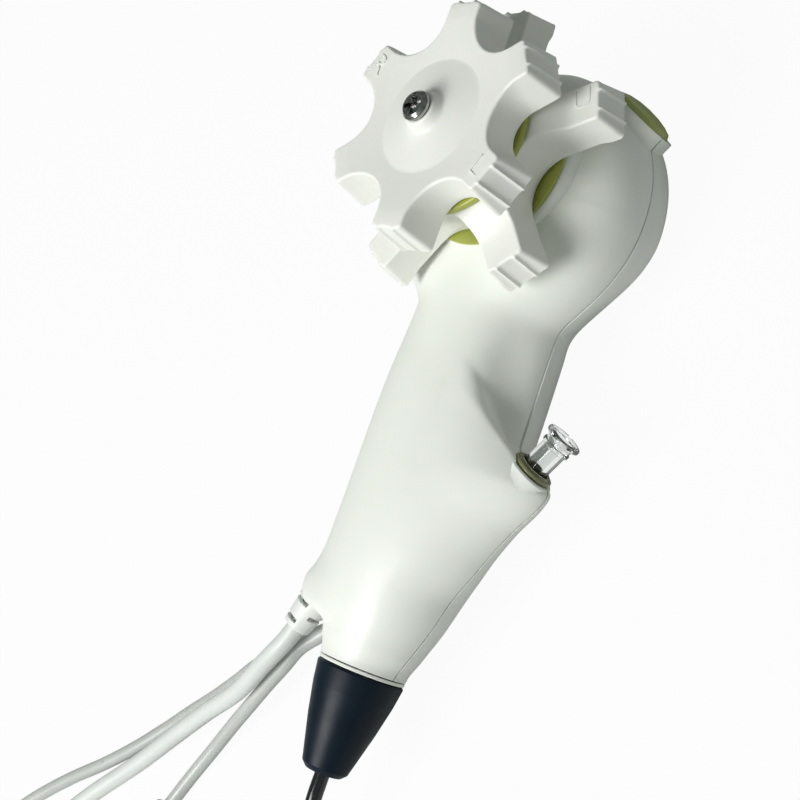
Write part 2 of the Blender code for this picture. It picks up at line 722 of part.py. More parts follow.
def make_screw():
    """The cross recessed screw that holds the outer wheel on its shaft."""
    low = HUB_TOP + GAP
    top = low + SCREW_HEAD_HEIGHT
    profile = [
        (0, top), (SCREW_HEAD_RADIUS * 0.72, top), (SCREW_HEAD_RADIUS * 0.95, top - 0.0005),
        (SCREW_HEAD_RADIUS, low), (SCREW_SHANK, low), (SCREW_SHANK, SHAFT_TOP - 0.0058),
        (0, SHAFT_TOP - 0.0058),
    ]
    head = turned(profile, "screw_body", steps=20)
    arm = SCREW_HEAD_RADIUS * 1.15
    first = block((arm, 0.0009, 0.0024), (0, 0, top), "slot_1")
    second = block((0.0009, arm, 0.0022), (0, 0, top), "slot_2")
    steps = [("DIFFERENCE", first), ("DIFFERENCE", second)]
    place("hub_screw", combined(head, steps, "hub_screw"), STEEL)


def make_chassis():
    """The plate that the shaft turns in, with the camera's board on its tail."""
    front = 0.0120
    middle = front - PLATE_LENGTH / 2
    plate = block((PLATE_WIDTH, PLATE_LENGTH, PLATE_THICKNESS),
                  (0, middle, PLATE_BOTTOM + PLATE_THICKNESS / 2), "plate")
    foot = rod(PLATE_FOOT_RADIUS, (0, HEAD_Y, FLOOR_Z + GAP + 0.0001), (0, HEAD_Y, PLATE_BOTTOM + 0.0005),
               "foot", 28)
    hole = rod(RL_SHAFT_RADIUS + GAP, (0, 0, PLATE_BOTTOM), (0, 0, PLATE_TOP + 0.003), "hole", 28)
    steps = [("UNION", foot), ("DIFFERENCE", hole)]
    place("chassis_plate", combined(plate, steps, "chassis_plate"), STEEL)
    end = front - PLATE_LENGTH
    board = block((PLATE_WIDTH - 0.004, BOARD_LENGTH, BOARD_THICKNESS),
                  (0, end + BOARD_LENGTH / 2 + 0.001, PLATE_TOP + GAP + BOARD_THICKNESS / 2), "board")
    place("camera_board", board, BOARD, smooth=False)


def make_wires():
    """The disc that guides the pull wires and the four wires' straight runs."""
    disc = rod(TAIL_INNER - GAP, (0, GUIDE_Y, SEAM_Z), (0, GUIDE_Y + GUIDE_THICKNESS, SEAM_Z),
               "disc", 36)
    steps = []
    start_y = 0.0
    reach = DRUM_RADIUS + WIRE_RADIUS - DRUM_GROOVE * 0.2
    ends = []
    for name, low, lift_by in (("rl_wire", RL_DRUM_Z, -0.0040), ("ud_wire", UD_DRUM_Z, 0.0040)):
        for side, label in ((-1, "left"), (1, "right")):
            start = Vector((side * reach, start_y, low + DRUM_HEIGHT / 2))
            end = Vector((side * 0.0042, GUIDE_Y + 0.0004, SEAM_Z + lift_by))
            ends.append((f"{name}_{label}", start, end))
    for name, start, end in ends:
        ahead = (end - start).normalized()
        steps.append(("DIFFERENCE", rod(WIRE_RADIUS + GAP, end - ahead * 0.006, end + ahead * 0.003,
                                        f"{name}_hole", 10)))
    steps.append(("DIFFERENCE", rod(CHANNEL_RADIUS + GAP, (0, GUIDE_Y - 0.001, SEAM_Z),
                                    (0, GUIDE_Y + GUIDE_THICKNESS + 0.001, SEAM_Z), "channel", 16)))
    place("wire_guide", combined(disc, steps, "wire_guide"), PLASTIC)
    for name, start, end in ends:
        route = [tuple(start.lerp(end, k / 3)) for k in range(4)]
        cord(name, route, WIRE_RADIUS, STEEL, 1)


def make_port():
    """The clear working channel port, its seal ring, the connector and the channel tube."""
    frame = along(PORT_AXIS, PORT_SEAT)
    bore = PORT_BORE
    flange = PORT_REACH
    profile = [
        (PORT_FLANGE, flange), (PORT_FLANGE, flange - 0.0011), (PORT_BARREL + 0.0001, flange - 0.0017),
        (PORT_BARREL, 0.0), (PORT_BARREL + 0.0001, -0.0080), (bore, -0.0080), (bore, flange - 0.0030),
        (bore + 0.0012, flange),
    ]
    place("port_barrel", turned(profile, "port_barrel", frame, 24, True), CLEAR)
    inner = PORT_BARREL + GAP + 0.0001
    profile = [
        (PORT_RING_RADIUS - 0.0004, 0.0020), (PORT_RING_RADIUS, 0.0014), (PORT_RING_RADIUS, GAP),
        (PORT_BARREL + 0.0009, GAP), (PORT_BARREL + 0.0009, -0.0040), (inner, -0.0040),
        (inner, 0.0020),
    ]
    place("port_ring", turned(profile, "port_ring", frame, 24, True), OLIVE)
    ring = [
        (PORT_BARREL, -0.0083), (PORT_BARREL, -0.0150), (CHANNEL_RADIUS + 0.0009, -0.0185),
        (CHANNEL_RADIUS - 0.0003, -0.0185), (CHANNEL_RADIUS - 0.0003, -0.0160), (bore, -0.0140),
        (bore, -0.0083),
    ]
    place("channel_connector", turned(ring, "channel_connector", frame, 16, True), PLASTIC)
    start = shift(-0.0188, PORT_SEAT, PORT_AXIS)
    route = [start, shift(-0.0240, PORT_SEAT, PORT_AXIS), (0.0088, -0.0890, SEAM_Z),
             (0.0024, -0.0990, SEAM_Z), (0, -0.1050, SEAM_Z), (0, GUIDE_Y + 0.0004, SEAM_Z)]
    cord("channel_tube", smooth_route(route, 0.0032), CHANNEL_RADIUS, TUBING, 2)


def make_button():
    """The olive push button in the head's end, which slides along its own axis."""
    frame = along(BUTTON_AXIS, BUTTON_FACE)
    profile = [
        (0, 0.0016), (BUTTON_RADIUS * 0.5, 0.0013), (BUTTON_RADIUS * 0.9, 0.0005),
        (BUTTON_RADIUS, -0.0004), (BUTTON_RADIUS, -BUTTON_LENGTH), (0, -BUTTON_LENGTH),
    ]
    button = place("head_button", turned(profile, "head_button", steps=24), OLIVE)
    button.matrix_world = frame


def make_boot():
    """The black boot, the pale ring at its rim."""
    frame = along((0, -1, 0), (0, BOOT_Y, SEAM_Z))
    bore = TUBE_RADIUS + GAP
    end = BOOT_LENGTH
    spigot = TAIL_INNER - GAP - 0.0001
    inside = GUIDE_Y - BOOT_Y - GAP
    profile = [
        (spigot, -inside), (spigot, 0), (TAIL_RADIUS - 0.0003, 0), (TAIL_RADIUS, 0.0004),
        (TAIL_RADIUS * 0.93, 0.0050), (TAIL_RADIUS * 0.78, 0.0120),
        (BOOT_TIP_RADIUS + 0.0004, end - 0.0028), (BOOT_TIP_RADIUS, end - 0.0012),
        (BOOT_TIP_RADIUS - 0.0012, end), (bore, end), (bore, -inside),
    ]
    place("boot", turned([(r, -z) for r, z in profile], "boot", along((0, 1, 0), (0, BOOT_Y, SEAM_Z)),
                         24, True), BLACK)
    ring = tube_profile(TAIL_RADIUS - 0.0001, spigot + GAP, -GAP, -GAP - BOOT_RING)
    place("boot_ring", turned(ring, "boot_ring", frame, 24, True), PLASTIC)


def ring_coil(name, centre, radius, cord_radius, turns, looks):
    """The solid outline of a neat coil of two layers lying on the floor."""
    half = cord_radius * (COIL_PITCH * (turns - 1) / 2 + 1)
    height = cord_radius * (COIL_PITCH + 2)
    soft = cord_radius * 0.8
    profile = [
        (radius + half - soft, height), (radius + half, height - soft), (radius + half, soft),
        (radius + half - soft, 0.0), (radius - half + soft, 0.0), (radius - half, soft),
        (radius - half, height - soft), (radius - half + soft, height),
    ]
    frame = Matrix.Translation((*centre, LIFT))
    place(name, turned(profile, name, frame, 24, True), looks)


def clear_of_coil(turn, cord_radius):
    """How far past a coil's middle a cord that leaves its outer turn straight is clear of the coil."""
    return math.sqrt((turn + cord_radius) ** 2 - (turn - cord_radius) ** 2) + 0.0004


def settling(x, middle, start, end, high, low):
    """Points of a cord that leaves a coil's upper layer and sinks to a level as it runs along Y."""
    points = []
    for k in range(7):
        y = start + (end - start) * k / 6
        t = y / end
        points.append((x, middle + y, low + (high - low) * (1 - t * t * (3 - 2 * t))))
    return points


def make_insertion_tube():
    """The insertion tube from the boot to the floor, its coil and the tail before the tip."""
    level = TUBE_RADIUS + LIFT
    clear = clear_of_coil(TUBE_COIL_TURN, TUBE_RADIUS)
    out = BOOT_Y - BOOT_LENGTH
    route = [
        (0, GUIDE_Y - 0.0004, SEAM_Z), (0, out, SEAM_Z), (0, out - 0.008, SEAM_Z - 0.0006),
        (0, out - 0.016, SEAM_Z - 0.0030), (0, out - 0.024, SEAM_Z - 0.0078),
        (0, out - 0.032, SEAM_Z - 0.0125), (0, out - 0.040, level + 0.0006), (0, TUBE_COIL_Y + clear, level),
    ]
    cord("insertion_tube", smooth_route(route, 0.0040), TUBE_RADIUS, SHEATH, 2)
    ring_coil("insertion_tube_coil", (TUBE_COIL_TURN, TUBE_COIL_Y), TUBE_COIL_RADIUS, TUBE_RADIUS,
              TUBE_COIL_TURNS, SHEATH)
    upper = level + COIL_PITCH * TUBE_RADIUS
    route = settling(BEND_X, TUBE_COIL_Y, clear, TUBE_TAIL - GAP, upper, level)
    cord("insertion_tube_end", smooth_route(route, 0.0020), TUBE_RADIUS, SHEATH, 2)


def upright(angle):
    """A frame whose outline's second axis is Z, turned about Z."""
    return Matrix.Rotation(angle, 4, "Z") @ Matrix.Rotation(math.pi / 2, 4, "X")


def bending_frame(number):
    """Where the piece ahead of a hinge stands: its Z runs to the tip, each one a quarter turned."""
    level = (BEND_X, HINGE_Y + (number - 1) * LINK_PITCH, BEND_Z)
    if number == 0:
        level = (BEND_X, BEND_Y, BEND_Z)
    turn = Matrix.Rotation(-math.pi / 2, 4, "X")
    roll = Matrix.Rotation(math.pi / 2 * (number % 2), 4, "Z")
    return Matrix.Translation(level) @ turn @ roll


def with_tongues(body, ahead):
    """A tube trimmed to two round knuckles at its front hinge and to edges that slope away."""
    slope = math.tan(math.radians(LINK_ANGLE / 2 + 1.5))
    wide = TUBE_RADIUS + 0.001
    shoulder = ahead - LINK_EDGE
    low = shoulder - wide * slope
    corner = math.sqrt(KNUCKLE**2 - LINK_EDGE**2)
    start = math.atan2(-LINK_EDGE, corner)
    outline = [(wide, -0.001), (wide, low), (corner, shoulder - corner * slope)]
    for k in range(7):
        angle = start + (math.pi - 2 * start) * k / 6
        outline.append((KNUCKLE * math.cos(angle), ahead + KNUCKLE * math.sin(angle)))
    outline += [(-corner, shoulder - corner * slope), (-wide, low), (-wide, -0.001)]
    return combined(body, [("INTERSECT", prism(outline, -0.003, 0.003, "front", upright(0)))], "tongues")


def with_sockets(body):
    """A tube cut for the knuckles behind it, with edges that slope away from the hinge."""
    slope = math.tan(math.radians(LINK_ANGLE / 2 + 1.5))
    wide = TUBE_RADIUS + 0.001
    radius = KNUCKLE + LINK_GAP
    outline = [(wide, -0.002), (wide, wide * slope)]
    for k in range(9):
        angle = math.pi * k / 8
        x = radius * math.cos(angle)
        outline.append((x, max(radius * math.sin(angle), abs(x) * slope)))
    outline += [(-wide, wide * slope), (-wide, -0.002)]
    return combined(body, [("DIFFERENCE", prism(outline, -0.003, 0.003, "rear", upright(math.pi / 2)))],
                    "sockets")


def make_bending_section():
    """The collar, the vertebrae and the distal tip, each hinged a quarter turn from the last."""
    outer = TUBE_RADIUS - 0.00005
    inner = outer - LINK_WALL
    for number in range(HINGES):
        length = LINK_PITCH if number else COLLAR_LENGTH
        ring = turned(tube_profile(outer, inner, length + 0.002, 0.0), "link", steps=16, closed=True)
        mesh = with_tongues(ring, length)
        if number:
            mesh = with_sockets(mesh)
        name = f"bending_link_{number}" if number else "bending_collar"
        made = place(name, mesh, STEEL)
        made.matrix_world = bending_frame(number)
    make_tip(outer, inner)


def make_tip(outer, inner):
    """The distal tip with its channel outlet, its lens and two lamps."""
    end = TIP_LENGTH
    profile = [
        (0, end), (outer - 0.0004, end), (outer, end - 0.0004), (outer, 0.0), (inner, 0.0),
        (inner, 0.0020), (0, 0.0020),
    ]
    body = turned(profile, "tip_body", steps=16)
    steps = []
    low = -TUBE_RADIUS * 0.42
    spots = [("lens", 0.0, TUBE_RADIUS * 0.40, LENS_RADIUS),
             ("lamp_left", -0.00115, TUBE_RADIUS * 0.10, LED_RADIUS),
             ("lamp_right", 0.00115, TUBE_RADIUS * 0.10, LED_RADIUS)]
    depth = 0.0012
    steps.append(("DIFFERENCE", rod(0.0005, (0, low, 0.001), (0, low, end + 0.001), "outlet", 12)))
    for name, x, y, radius in spots:
        hole = rod(radius + LINK_GAP, (x, y, end - depth), (x, y, end + 0.001), f"{name}_hole", 10)
        steps.append(("DIFFERENCE", hole))
    mesh = with_sockets(combined(body, steps, "tip"))
    frame = bending_frame(HINGES)
    made = place("distal_tip", mesh, SHEATH)
    made.matrix_world = frame
    for name, x, y, radius in spots:
        mesh = rod(radius, (x, y, end - depth + LINK_GAP), (x, y, end + 0.00002), name, 10)
        made = place(name, mesh, GLASS)
        made.matrix_world = frame


def make_relief():
    """The white strain relief with its three slots, where the camera's cable leaves."""
    bore = CABLE_RADIUS + GAP
    length = RELIEF_LENGTH
    frame = along(OUTLET_AXIS, RELIEF_SEAT)
    profile = [
        (RELIEF_RADIUS * 0.80, length), (RELIEF_RADIUS * 0.96, 0.0020), (RELIEF_RADIUS, GAP),
        (RELIEF_RADIUS - 0.0011, GAP), (RELIEF_RADIUS - 0.0011, -0.0060), (bore, -0.0060),
        (bore, length),
    ]
    body = turned(profile, "relief_body", steps=20, closed=True)
    steps = []
    for k in range(3):
        height = 0.0014 + 0.0026 * k
        side = 1 if k % 2 == 0 else -1
        slot = block((0.012, 0.006, 0.0011), (0, side * (bore * 0.45 + 0.003), height), f"slot_{k}")
        steps.append(("DIFFERENCE", slot))
    mesh = combined(body, steps, "cable_relief")
    mesh.transform(frame)
    place("cable_relief", mesh, PLASTIC)


CABLE_ROUTE = (
    (-0.0285, -0.1178, 0.0175), (-0.0328, -0.1225, 0.0160), (-0.0404, -0.1304, 0.0128),
    (-0.0538, -0.1405, 0.0086), (-0.0662, -0.1508, 0.0050), (-0.0767, -0.1609, 0.0031),
    (-0.0930, -0.1775, 0.0025), (-0.1050, -0.1930, 0.0025),
)
WASH_ROUTE = (
    (-0.0266, -0.1154, 0.0124), (-0.0303, -0.1207, 0.0114), (-0.0351, -0.1267, 0.0098),
    (-0.0401, -0.1329, 0.0078), (-0.0459, -0.1399, 0.0054), (-0.0518, -0.1482, 0.0032),
    (-0.0570, -0.1570, 0.0021), (-0.0612, -0.1665, 0.00195),
)
SUCTION_ROUTE = (
    (-0.0262, -0.1105, 0.0084), (-0.0355, -0.1180, 0.0086), (-0.0430, -0.1248, 0.0085),
    (-0.0480, -0.1296, 0.0074),
    (-0.0564, -0.1365, 0.0052), (-0.0656, -0.1435, 0.0030), (-0.0724, -0.1496, 0.0020),
    (-0.0807, -0.1576, 0.00195), (-0.0905, -0.1660, 0.00195), (-0.1030, -0.1755, 0.00195),
    (-0.1140, -0.1850, 0.00195), (-0.1218, -0.1930, 0.00195),
)


def make_lines():
    """The camera's cable with its coil and plug, and two flushing lines with their fittings."""
    level = CABLE_RADIUS + LIFT
    start = shift(-0.0050, RELIEF_SEAT, OUTLET_AXIS)
    leave = shift(RELIEF_LENGTH + 0.004, RELIEF_SEAT, OUTLET_AXIS)
    centre = Vector((CABLE_COIL_X, CABLE_COIL_Y, level))
    heading = facing(HEADING_ANGLE)
    side = facing(HEADING_ANGLE - 90.0)
    clear = clear_of_coil(CABLE_COIL_TURN, CABLE_RADIUS)
    join = centre + side * CABLE_COIL_TURN - heading * clear
    before = join - heading * 0.004
    route = [start, leave, *CABLE_ROUTE, before, join]
    cord("camera_cable", smooth_route(route, 0.0062), CABLE_RADIUS, CABLE, 2)
    ring_coil("camera_cable_coil", (CABLE_COIL_X, CABLE_COIL_Y), CABLE_COIL_RADIUS, CABLE_RADIUS,
              CABLE_COIL_TURNS, CABLE)
    x = CABLE_COIL_X + CABLE_COIL_TURN
    plug_z = PLUG_RADIUS + LIFT
    route = settling(x, CABLE_COIL_Y, clear, CABLE_TAIL - GAP, level + COIL_PITCH * CABLE_RADIUS, plug_z)
    cord("camera_cable_end", smooth_route(route, 0.0040), CABLE_RADIUS, CABLE, 2)
    make_plug(Vector((x, CABLE_COIL_Y + CABLE_TAIL, plug_z)))
    for number, (name, route) in enumerate((("flushing", WASH_ROUTE), ("suction", SUCTION_ROUTE))):
        exit_at, aim = LINE_EXITS[number]
        path = [shift(-0.006, exit_at, aim), exit_at, shift(0.008, exit_at, aim), *route]
        cord(f"{name}_line", smooth_route(path, 0.0052), LINE_RADIUS, TUBING, 2)
        far = (Vector(route[-1]) - Vector(route[-2]))
        far.z = 0.0
        make_fitting(f"{name}_fitting", Vector(route[-1]), far.normalized())


def make_plug(rear):
    """The plug on the camera's cable: a grip and a closed round nose in one moulding."""
    r = PLUG_RADIUS
    length = PLUG_LENGTH
    profile = [
        (r * 0.72, length), (r * 0.80, length - 0.0005), (r * 0.80, length - 0.0100),
        (r, length - 0.0108), (r, 0.0080), (r * 0.9, 0.0070), (r * 0.55, 0.0010), (r * 0.45, 0.0),
        (0, 0.0),
    ]
    profile = [(0, length)] + profile
    mesh = turned(profile, "camera_plug", along((0, 1, 0), rear), 20)
    place("camera_plug", mesh, CABLE)


def make_fitting(name, end, heading):
    """A line's end fitting: a collar, a grip and an open nose."""
    r = FITTING_RADIUS
    length = FITTING_LENGTH
    profile = [
        (r * 0.62, length), (r * 0.66, length - 0.0040), (r, length - 0.0044), (r, length - 0.0062),
        (r * 0.72, length - 0.0068), (r * 0.66, 0.0), (0, 0.0), (0, length - 0.0050),
        (r * 0.36, length - 0.0050), (r * 0.40, length),
    ]
    at = end + heading * GAP
    at.z = max(r + LIFT, end.z)
    place(name, turned(profile, name, along(heading, at), 16, True), PLASTIC)


def main():
    """Builds every piece of the endoscope."""
    make_housing()
    make_rl_wheel()
    make_ud_wheel()
    make_shafts()
    make_screw()
    make_chassis()
    make_wires()
    make_port()
    make_button()
    make_boot()
    make_insertion_tube()
    make_bending_section()
    make_relief()
    make_lines()
    for piece in PARTS.objects:
        piece.matrix_world = Matrix.Translation((-ORIGIN_X, -ORIGIN_Y, 0)) @ piece.matrix_world


main()
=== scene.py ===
"""Looks of a flexible endoscope: a white handle with two control wheels, its lines and its tube."""
import logging
import math
from collections.abc import Iterator, Sequence
from contextlib import contextmanager
from dataclasses import dataclass
from enum import Enum

import bmesh
import bpy
import numpy as np
from mathutils import Matrix, Vector


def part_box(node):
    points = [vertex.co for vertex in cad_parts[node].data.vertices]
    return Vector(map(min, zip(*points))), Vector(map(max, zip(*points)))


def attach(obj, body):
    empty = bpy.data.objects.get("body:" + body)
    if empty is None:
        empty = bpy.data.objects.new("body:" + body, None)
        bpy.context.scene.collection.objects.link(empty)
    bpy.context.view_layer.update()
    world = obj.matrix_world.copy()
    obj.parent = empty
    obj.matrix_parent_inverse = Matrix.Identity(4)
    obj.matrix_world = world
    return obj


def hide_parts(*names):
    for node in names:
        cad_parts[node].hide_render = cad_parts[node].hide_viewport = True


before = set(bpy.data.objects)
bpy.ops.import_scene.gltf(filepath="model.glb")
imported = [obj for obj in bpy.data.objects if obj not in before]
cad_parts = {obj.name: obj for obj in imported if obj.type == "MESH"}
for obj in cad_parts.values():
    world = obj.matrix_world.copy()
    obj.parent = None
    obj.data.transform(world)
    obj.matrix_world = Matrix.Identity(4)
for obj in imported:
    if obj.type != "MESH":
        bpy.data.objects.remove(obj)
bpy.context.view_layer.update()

LOG = logging.getLogger("endoscope")
Point = tuple[float, float, float]
Colour = tuple[float, float, float]
Profile = list[tuple[float, float]]
Corners = Sequence[tuple[float, float, float]]
Table = tuple[tuple[float, ...], ...]
Socket = bpy.types.NodeSocket
EVEN: Point = (1.0, 1.0, 1.0)
WHITE = (1.0, 1.0, 1.0, 1.0)

# Places in metres about the wheels' axis, with Z up from the floor, and angles in degrees from +X.
KNOB: Point = (-0.00137, 0.05134, 0.0)
HOME = Vector(KNOB)
GAP = 0.0003
LIFT = 0.0002
SEAM_Z = 0.0180
KNOB_Z = 0.0600
PORT_SEAT: Point = (0.0268, -0.0608, SEAM_Z + 0.0018)
PORT_ANGLE = 58.0
BUTTON_FACE: Point = (0.0198, 0.0217, SEAM_Z)
BUTTON_ANGLE = 58.0
RELIEF_SEAT: Point = (-0.0213, -0.1030, SEAM_Z)
RELIEF_ANGLE = 247.5
TAIL_Y = -0.1124
TAIL_RADIUS = 0.0100
LINE_EXITS: dict[str, tuple[Point, Point]] = {
    "flushing": ((-0.0158, -0.1040, 0.0125), (-0.66, -0.75, -0.02)),
    "suction": ((-0.0105, -0.0990, 0.0085), (-0.80, -0.59, -0.02)),
}


class Texture(Enum):
    """What the surface of a finish is made by."""

    MOULDED = "spark eroded mould"
    BRUSHED = "brushed along one way"
    TURNED = "turned on a lathe"
    RUBBER = "moulded rubber"
    SHEATH = "extruded cord"
    CLEAR = "clear moulding"
    BOARD = "circuit board"


@dataclass(frozen=True)
class Finish:
    """A material of the endoscope and the detail of its surface.

    Attributes:
        name: the material's name.
        slot: the kind of surface that it is; not used.
        colour: its lighter tone.
        shade: its darker tone.
        texture: what its surface is made by.
        patch: the size in metres over which its tone drifts, or its share of a cord's map.
        grain: the size in metres of its finest marks.
        relief: how high in metres those marks stand.
        roughness: its lowest and highest roughness.
        metallic: 1 for bare metal.
        coat: how much clear coat it has.
        transmission: how much light goes through it.
        ior: how strongly it bends light.
        subsurface: how much light spreads under its surface.
        centre: the axis of its lathe rings.
    """

    name: str
    slot: str
    colour: Colour
    shade: Colour
    texture: Texture = Texture.MOULDED
    patch: float = 0.014
    grain: float = 0.00035
    relief: float = 0.000012
    roughness: tuple[float, float] = (0.38, 0.50)
    metallic: float = 0.0
    coat: float = 0.0
    transmission: float = 0.0
    ior: float = 1.5
    subsurface: float = 0.0
    centre: Point = (0.0, 0.0, 0.0)

    def material(self) -> bpy.types.Material:
        """The material of this finish, made once."""
        known = bpy.data.materials.get(self.name)
        return known or Shading(self).material


class Nodes:
    """A node tree that is written node by node."""

    def __init__(self, tree: bpy.types.NodeTree) -> None:
        """Keeps the tree.

        Args:
            tree: the tree to write in.
        """
        self.tree = tree

    def feed(self, node: bpy.types.Node, inputs: dict[str | int, object]) -> bpy.types.Node:
        """Sets or links the inputs of a node.

        Args:
            node: the node.
            inputs: the value or the source of each input, by its name or its number.

        Returns:
            the node.
        """
        for title, value in inputs.items():
            if isinstance(value, Socket):
                self.tree.links.new(value, node.inputs[title])
            else:
                node.inputs[title].default_value = value
        return node

    def add(self, kind: str, inputs: dict[str | int, object], **settings: str) -> bpy.types.Node:
        """A new node.

        Args:
            kind: the node's type.
            inputs: the value or the source of each input.
            settings: the node's own settings, made before its inputs are looked up.

        Returns:
            the node.
        """
        node = self.tree.nodes.new(kind)
        for title, value in settings.items():
            setattr(node, title, value)
        return self.feed(node, inputs)


class Shading:
    """The node tree of a finish."""

    COAT_ROUGHNESS = 0.12
    SUBSURFACE_RADIUS = (1.0, 0.9, 0.7)
    SUBSURFACE_SCALE = 0.0012
    NOISE_SPAN = (0.3, 0.7)
    GLOSS_PATCH = 0.35
    BRUSHED_PATCH: Point = (1.0, 0.06, 1.0)
    BRUSHED_MARKS: Point = (1.0, 0.03, 1.0)
    SHEATH_MARKS: Point = (9.0, 0.6, 1.0)
    TRACK_SCALE = 420.0
    TRACK_EDGE = 0.06
    TRACK_TONE = 0.6
    RING_SCALE = 0.30
    BUMP_STRENGTH = 0.55

    def __init__(self, finish: Finish) -> None:
        """Builds the tree.

        Args:
            finish: what the surface is made of.
        """
        self.finish = finish
        self.material = bpy.data.materials.new(finish.name)
        self.material.use_nodes = True
        self.nodes = Nodes(self.material.node_tree)
        self.shader = self.material.node_tree.nodes["Principled BSDF"]
        self.source = self.nodes.add("ShaderNodeTexCoord", {})
        self._constants()
        self._tone()
        self._relief()

    def _constants(self) -> None:
        """Sets what is the same all over the surface on the shader's own sockets."""
        made = self.finish
        self.nodes.feed(self.shader, {
            "Metallic": made.metallic, "IOR": made.ior, "Coat Weight": made.coat,
            "Coat Roughness": self.COAT_ROUGHNESS, "Transmission Weight": made.transmission,
            "Subsurface Weight": made.subsurface, "Subsurface Radius": self.SUBSURFACE_RADIUS,
            "Subsurface Scale": self.SUBSURFACE_SCALE,
        })

    def _mapped(self, scale: Point = EVEN) -> Socket:
        """Coordinates of the surface, scaled, or about the axis of what was turned.

        Args:
            scale: repeats per metre along each axis.

        Returns:
            the mapped coordinates.
        """
        texture = self.finish.texture
        source = self.source.outputs["UV" if texture is Texture.SHEATH else "Object"]
        if texture is Texture.TURNED:
            mapping = self.nodes.add("ShaderNodeMapping", {
                "Location": self.finish.centre, "Vector": source}, vector_type="TEXTURE")
        else:
            mapping = self.nodes.add("ShaderNodeMapping", {
                "Scale": scale, "Vector": source}, vector_type="POINT")
        return mapping.outputs["Vector"]

    def _noise(self, size: float, detail: float, scale: Point = EVEN) -> Socket:
        """A noise of a given feature size.

        Args:
            size: the size of its features in metres, or in turns of a cord's map.
            detail: how many finer layers it has.
            scale: how the coordinates are stretched first.

        Returns:
            the noise's value.
        """
        return self.nodes.add("ShaderNodeTexNoise", {
            "Scale": 1.0 / size, "Detail": detail, "Vector": self._mapped(scale)}).outputs["Fac"]

    def _range(self, value: Socket, low: float, high: float) -> Socket:
        """A noise's value spread over a range.

        Args:
            value: the noise's value.
            low: where the low end of the noise's span goes.
            high: where its high end goes.

        Returns:
            the new value.
        """
        return self.nodes.add("ShaderNodeMapRange", {
            "From Min": self.NOISE_SPAN[0], "From Max": self.NOISE_SPAN[1],
            "To Min": low, "To Max": high, "Value": value}).outputs["Result"]

    def _tone(self) -> None:
        """Colour that drifts between two near tones, and gloss that drifts with it."""
        made = self.finish
        scale = self.BRUSHED_PATCH if made.texture is Texture.BRUSHED else EVEN
        tone = self._range(self._noise(made.patch, 3.0, scale), 0.0, 1.0)
        if made.texture is Texture.BOARD:
            tone = self._tracks(tone)
        mixed = self.nodes.add("ShaderNodeMix", {
            "A": (*made.shade, 1.0), "B": (*made.colour, 1.0), "Factor": tone}, data_type="RGBA")
        fine = self._noise(made.patch * self.GLOSS_PATCH, 4.0, scale)
        self.nodes.feed(self.shader, {"Base Color": mixed.outputs["Result"],
                                      "Roughness": self._range(fine, *made.roughness)})

    def _tracks(self, tone: Socket) -> Socket:
        """Lighter copper tracks under a board's green mask.

        Args:
            tone: the drifting tone.

        Returns:
            the tone with the tracks.
        """
        brick = self.nodes.add("ShaderNodeTexBrick", {
            "Scale": self.TRACK_SCALE, "Mortar Size": self.TRACK_EDGE, "Vector": self._mapped()})
        return self.nodes.add("ShaderNodeMath", {
            0: brick.outputs["Fac"], 1: self.TRACK_TONE, 2: tone},
            operation="MULTIPLY_ADD").outputs["Value"]

    def _height(self) -> Socket:
        """The surface's height: the mould's grain, brush marks, lathe rings or pores.

        Returns:
            the height.
        """
        made = self.finish
        if made.texture is Texture.TURNED:
            return self.nodes.add("ShaderNodeTexWave", {
                "Scale": self.RING_SCALE / made.grain, "Distortion": 0.6, "Detail": 3.0,
                "Vector": self._mapped()}, wave_type="RINGS", rings_direction="Z").outputs["Fac"]
        if made.texture is Texture.BRUSHED:
            return self._noise(made.grain, 5.0, self.BRUSHED_MARKS)
        if made.texture is Texture.SHEATH:
            return self._noise(1.0, 2.0, self.SHEATH_MARKS)
        if made.texture is Texture.RUBBER:
            return self.nodes.add("ShaderNodeTexVoronoi", {
                "Scale": 1.0 / made.grain, "Vector": self._mapped()}).outputs["Distance"]
        return self._noise(made.grain, 6.0)

    def _relief(self) -> None:
        """Puts the surface's height on its normal."""
        bump = self.nodes.add("ShaderNodeBump", {
            "Strength": self.BUMP_STRENGTH, "Distance": self.finish.relief,
            "Height": self._height()})
        self.nodes.feed(self.shader, {"Normal": bump.outputs["Normal"]})


HOUSING_WHITE = Finish("housing_white", "housing", (0.860, 0.880, 0.825), (0.838, 0.860, 0.803),
                       subsurface=0.10, coat=0.10)
HOUSING_BACK = Finish("housing_back_white", "housing", (0.845, 0.866, 0.812),
                      (0.822, 0.846, 0.790), subsurface=0.10, coat=0.10)
WHEEL_WHITE = Finish("wheel_white", "wheel", (0.870, 0.872, 0.825), (0.848, 0.852, 0.802),
                     grain=0.00028, roughness=(0.40, 0.52), subsurface=0.12)
# Painted shadow: the olive of the rings under the wheels stands for the shade that each wheel casts
# on the face below it.
PAINTED_SHADOW_RING_OLIVE = Finish("painted_shadow_ring_olive", "seal", (0.400, 0.430, 0.080), (0.330, 0.360, 0.062),
                    Texture.RUBBER, grain=0.00045, relief=0.00001, roughness=(0.30, 0.42),
                    subsurface=0.10)
# Painted shade: the button's olive stands for the shade on the top of the head where it sits.
PAINTED_SHADE_BUTTON_OLIVE = Finish("painted_shade_button_olive", "button", (0.460, 0.500, 0.150), (0.400, 0.440, 0.120),
                      roughness=(0.24, 0.34), coat=0.2)
RING_OLIVE = Finish("ring_olive", "button", (0.245, 0.250, 0.115), (0.190, 0.195, 0.082),
                    patch=0.004, grain=0.0002, relief=0.000006, roughness=(0.10, 0.20), coat=0.5)
BOOT_BLACK = Finish("boot_black", "boot", (0.0042, 0.0110, 0.0205), (0.0030, 0.0082, 0.0155),
                    Texture.RUBBER, grain=0.00030, relief=0.000010, roughness=(0.36, 0.46),
                    ior=1.27)
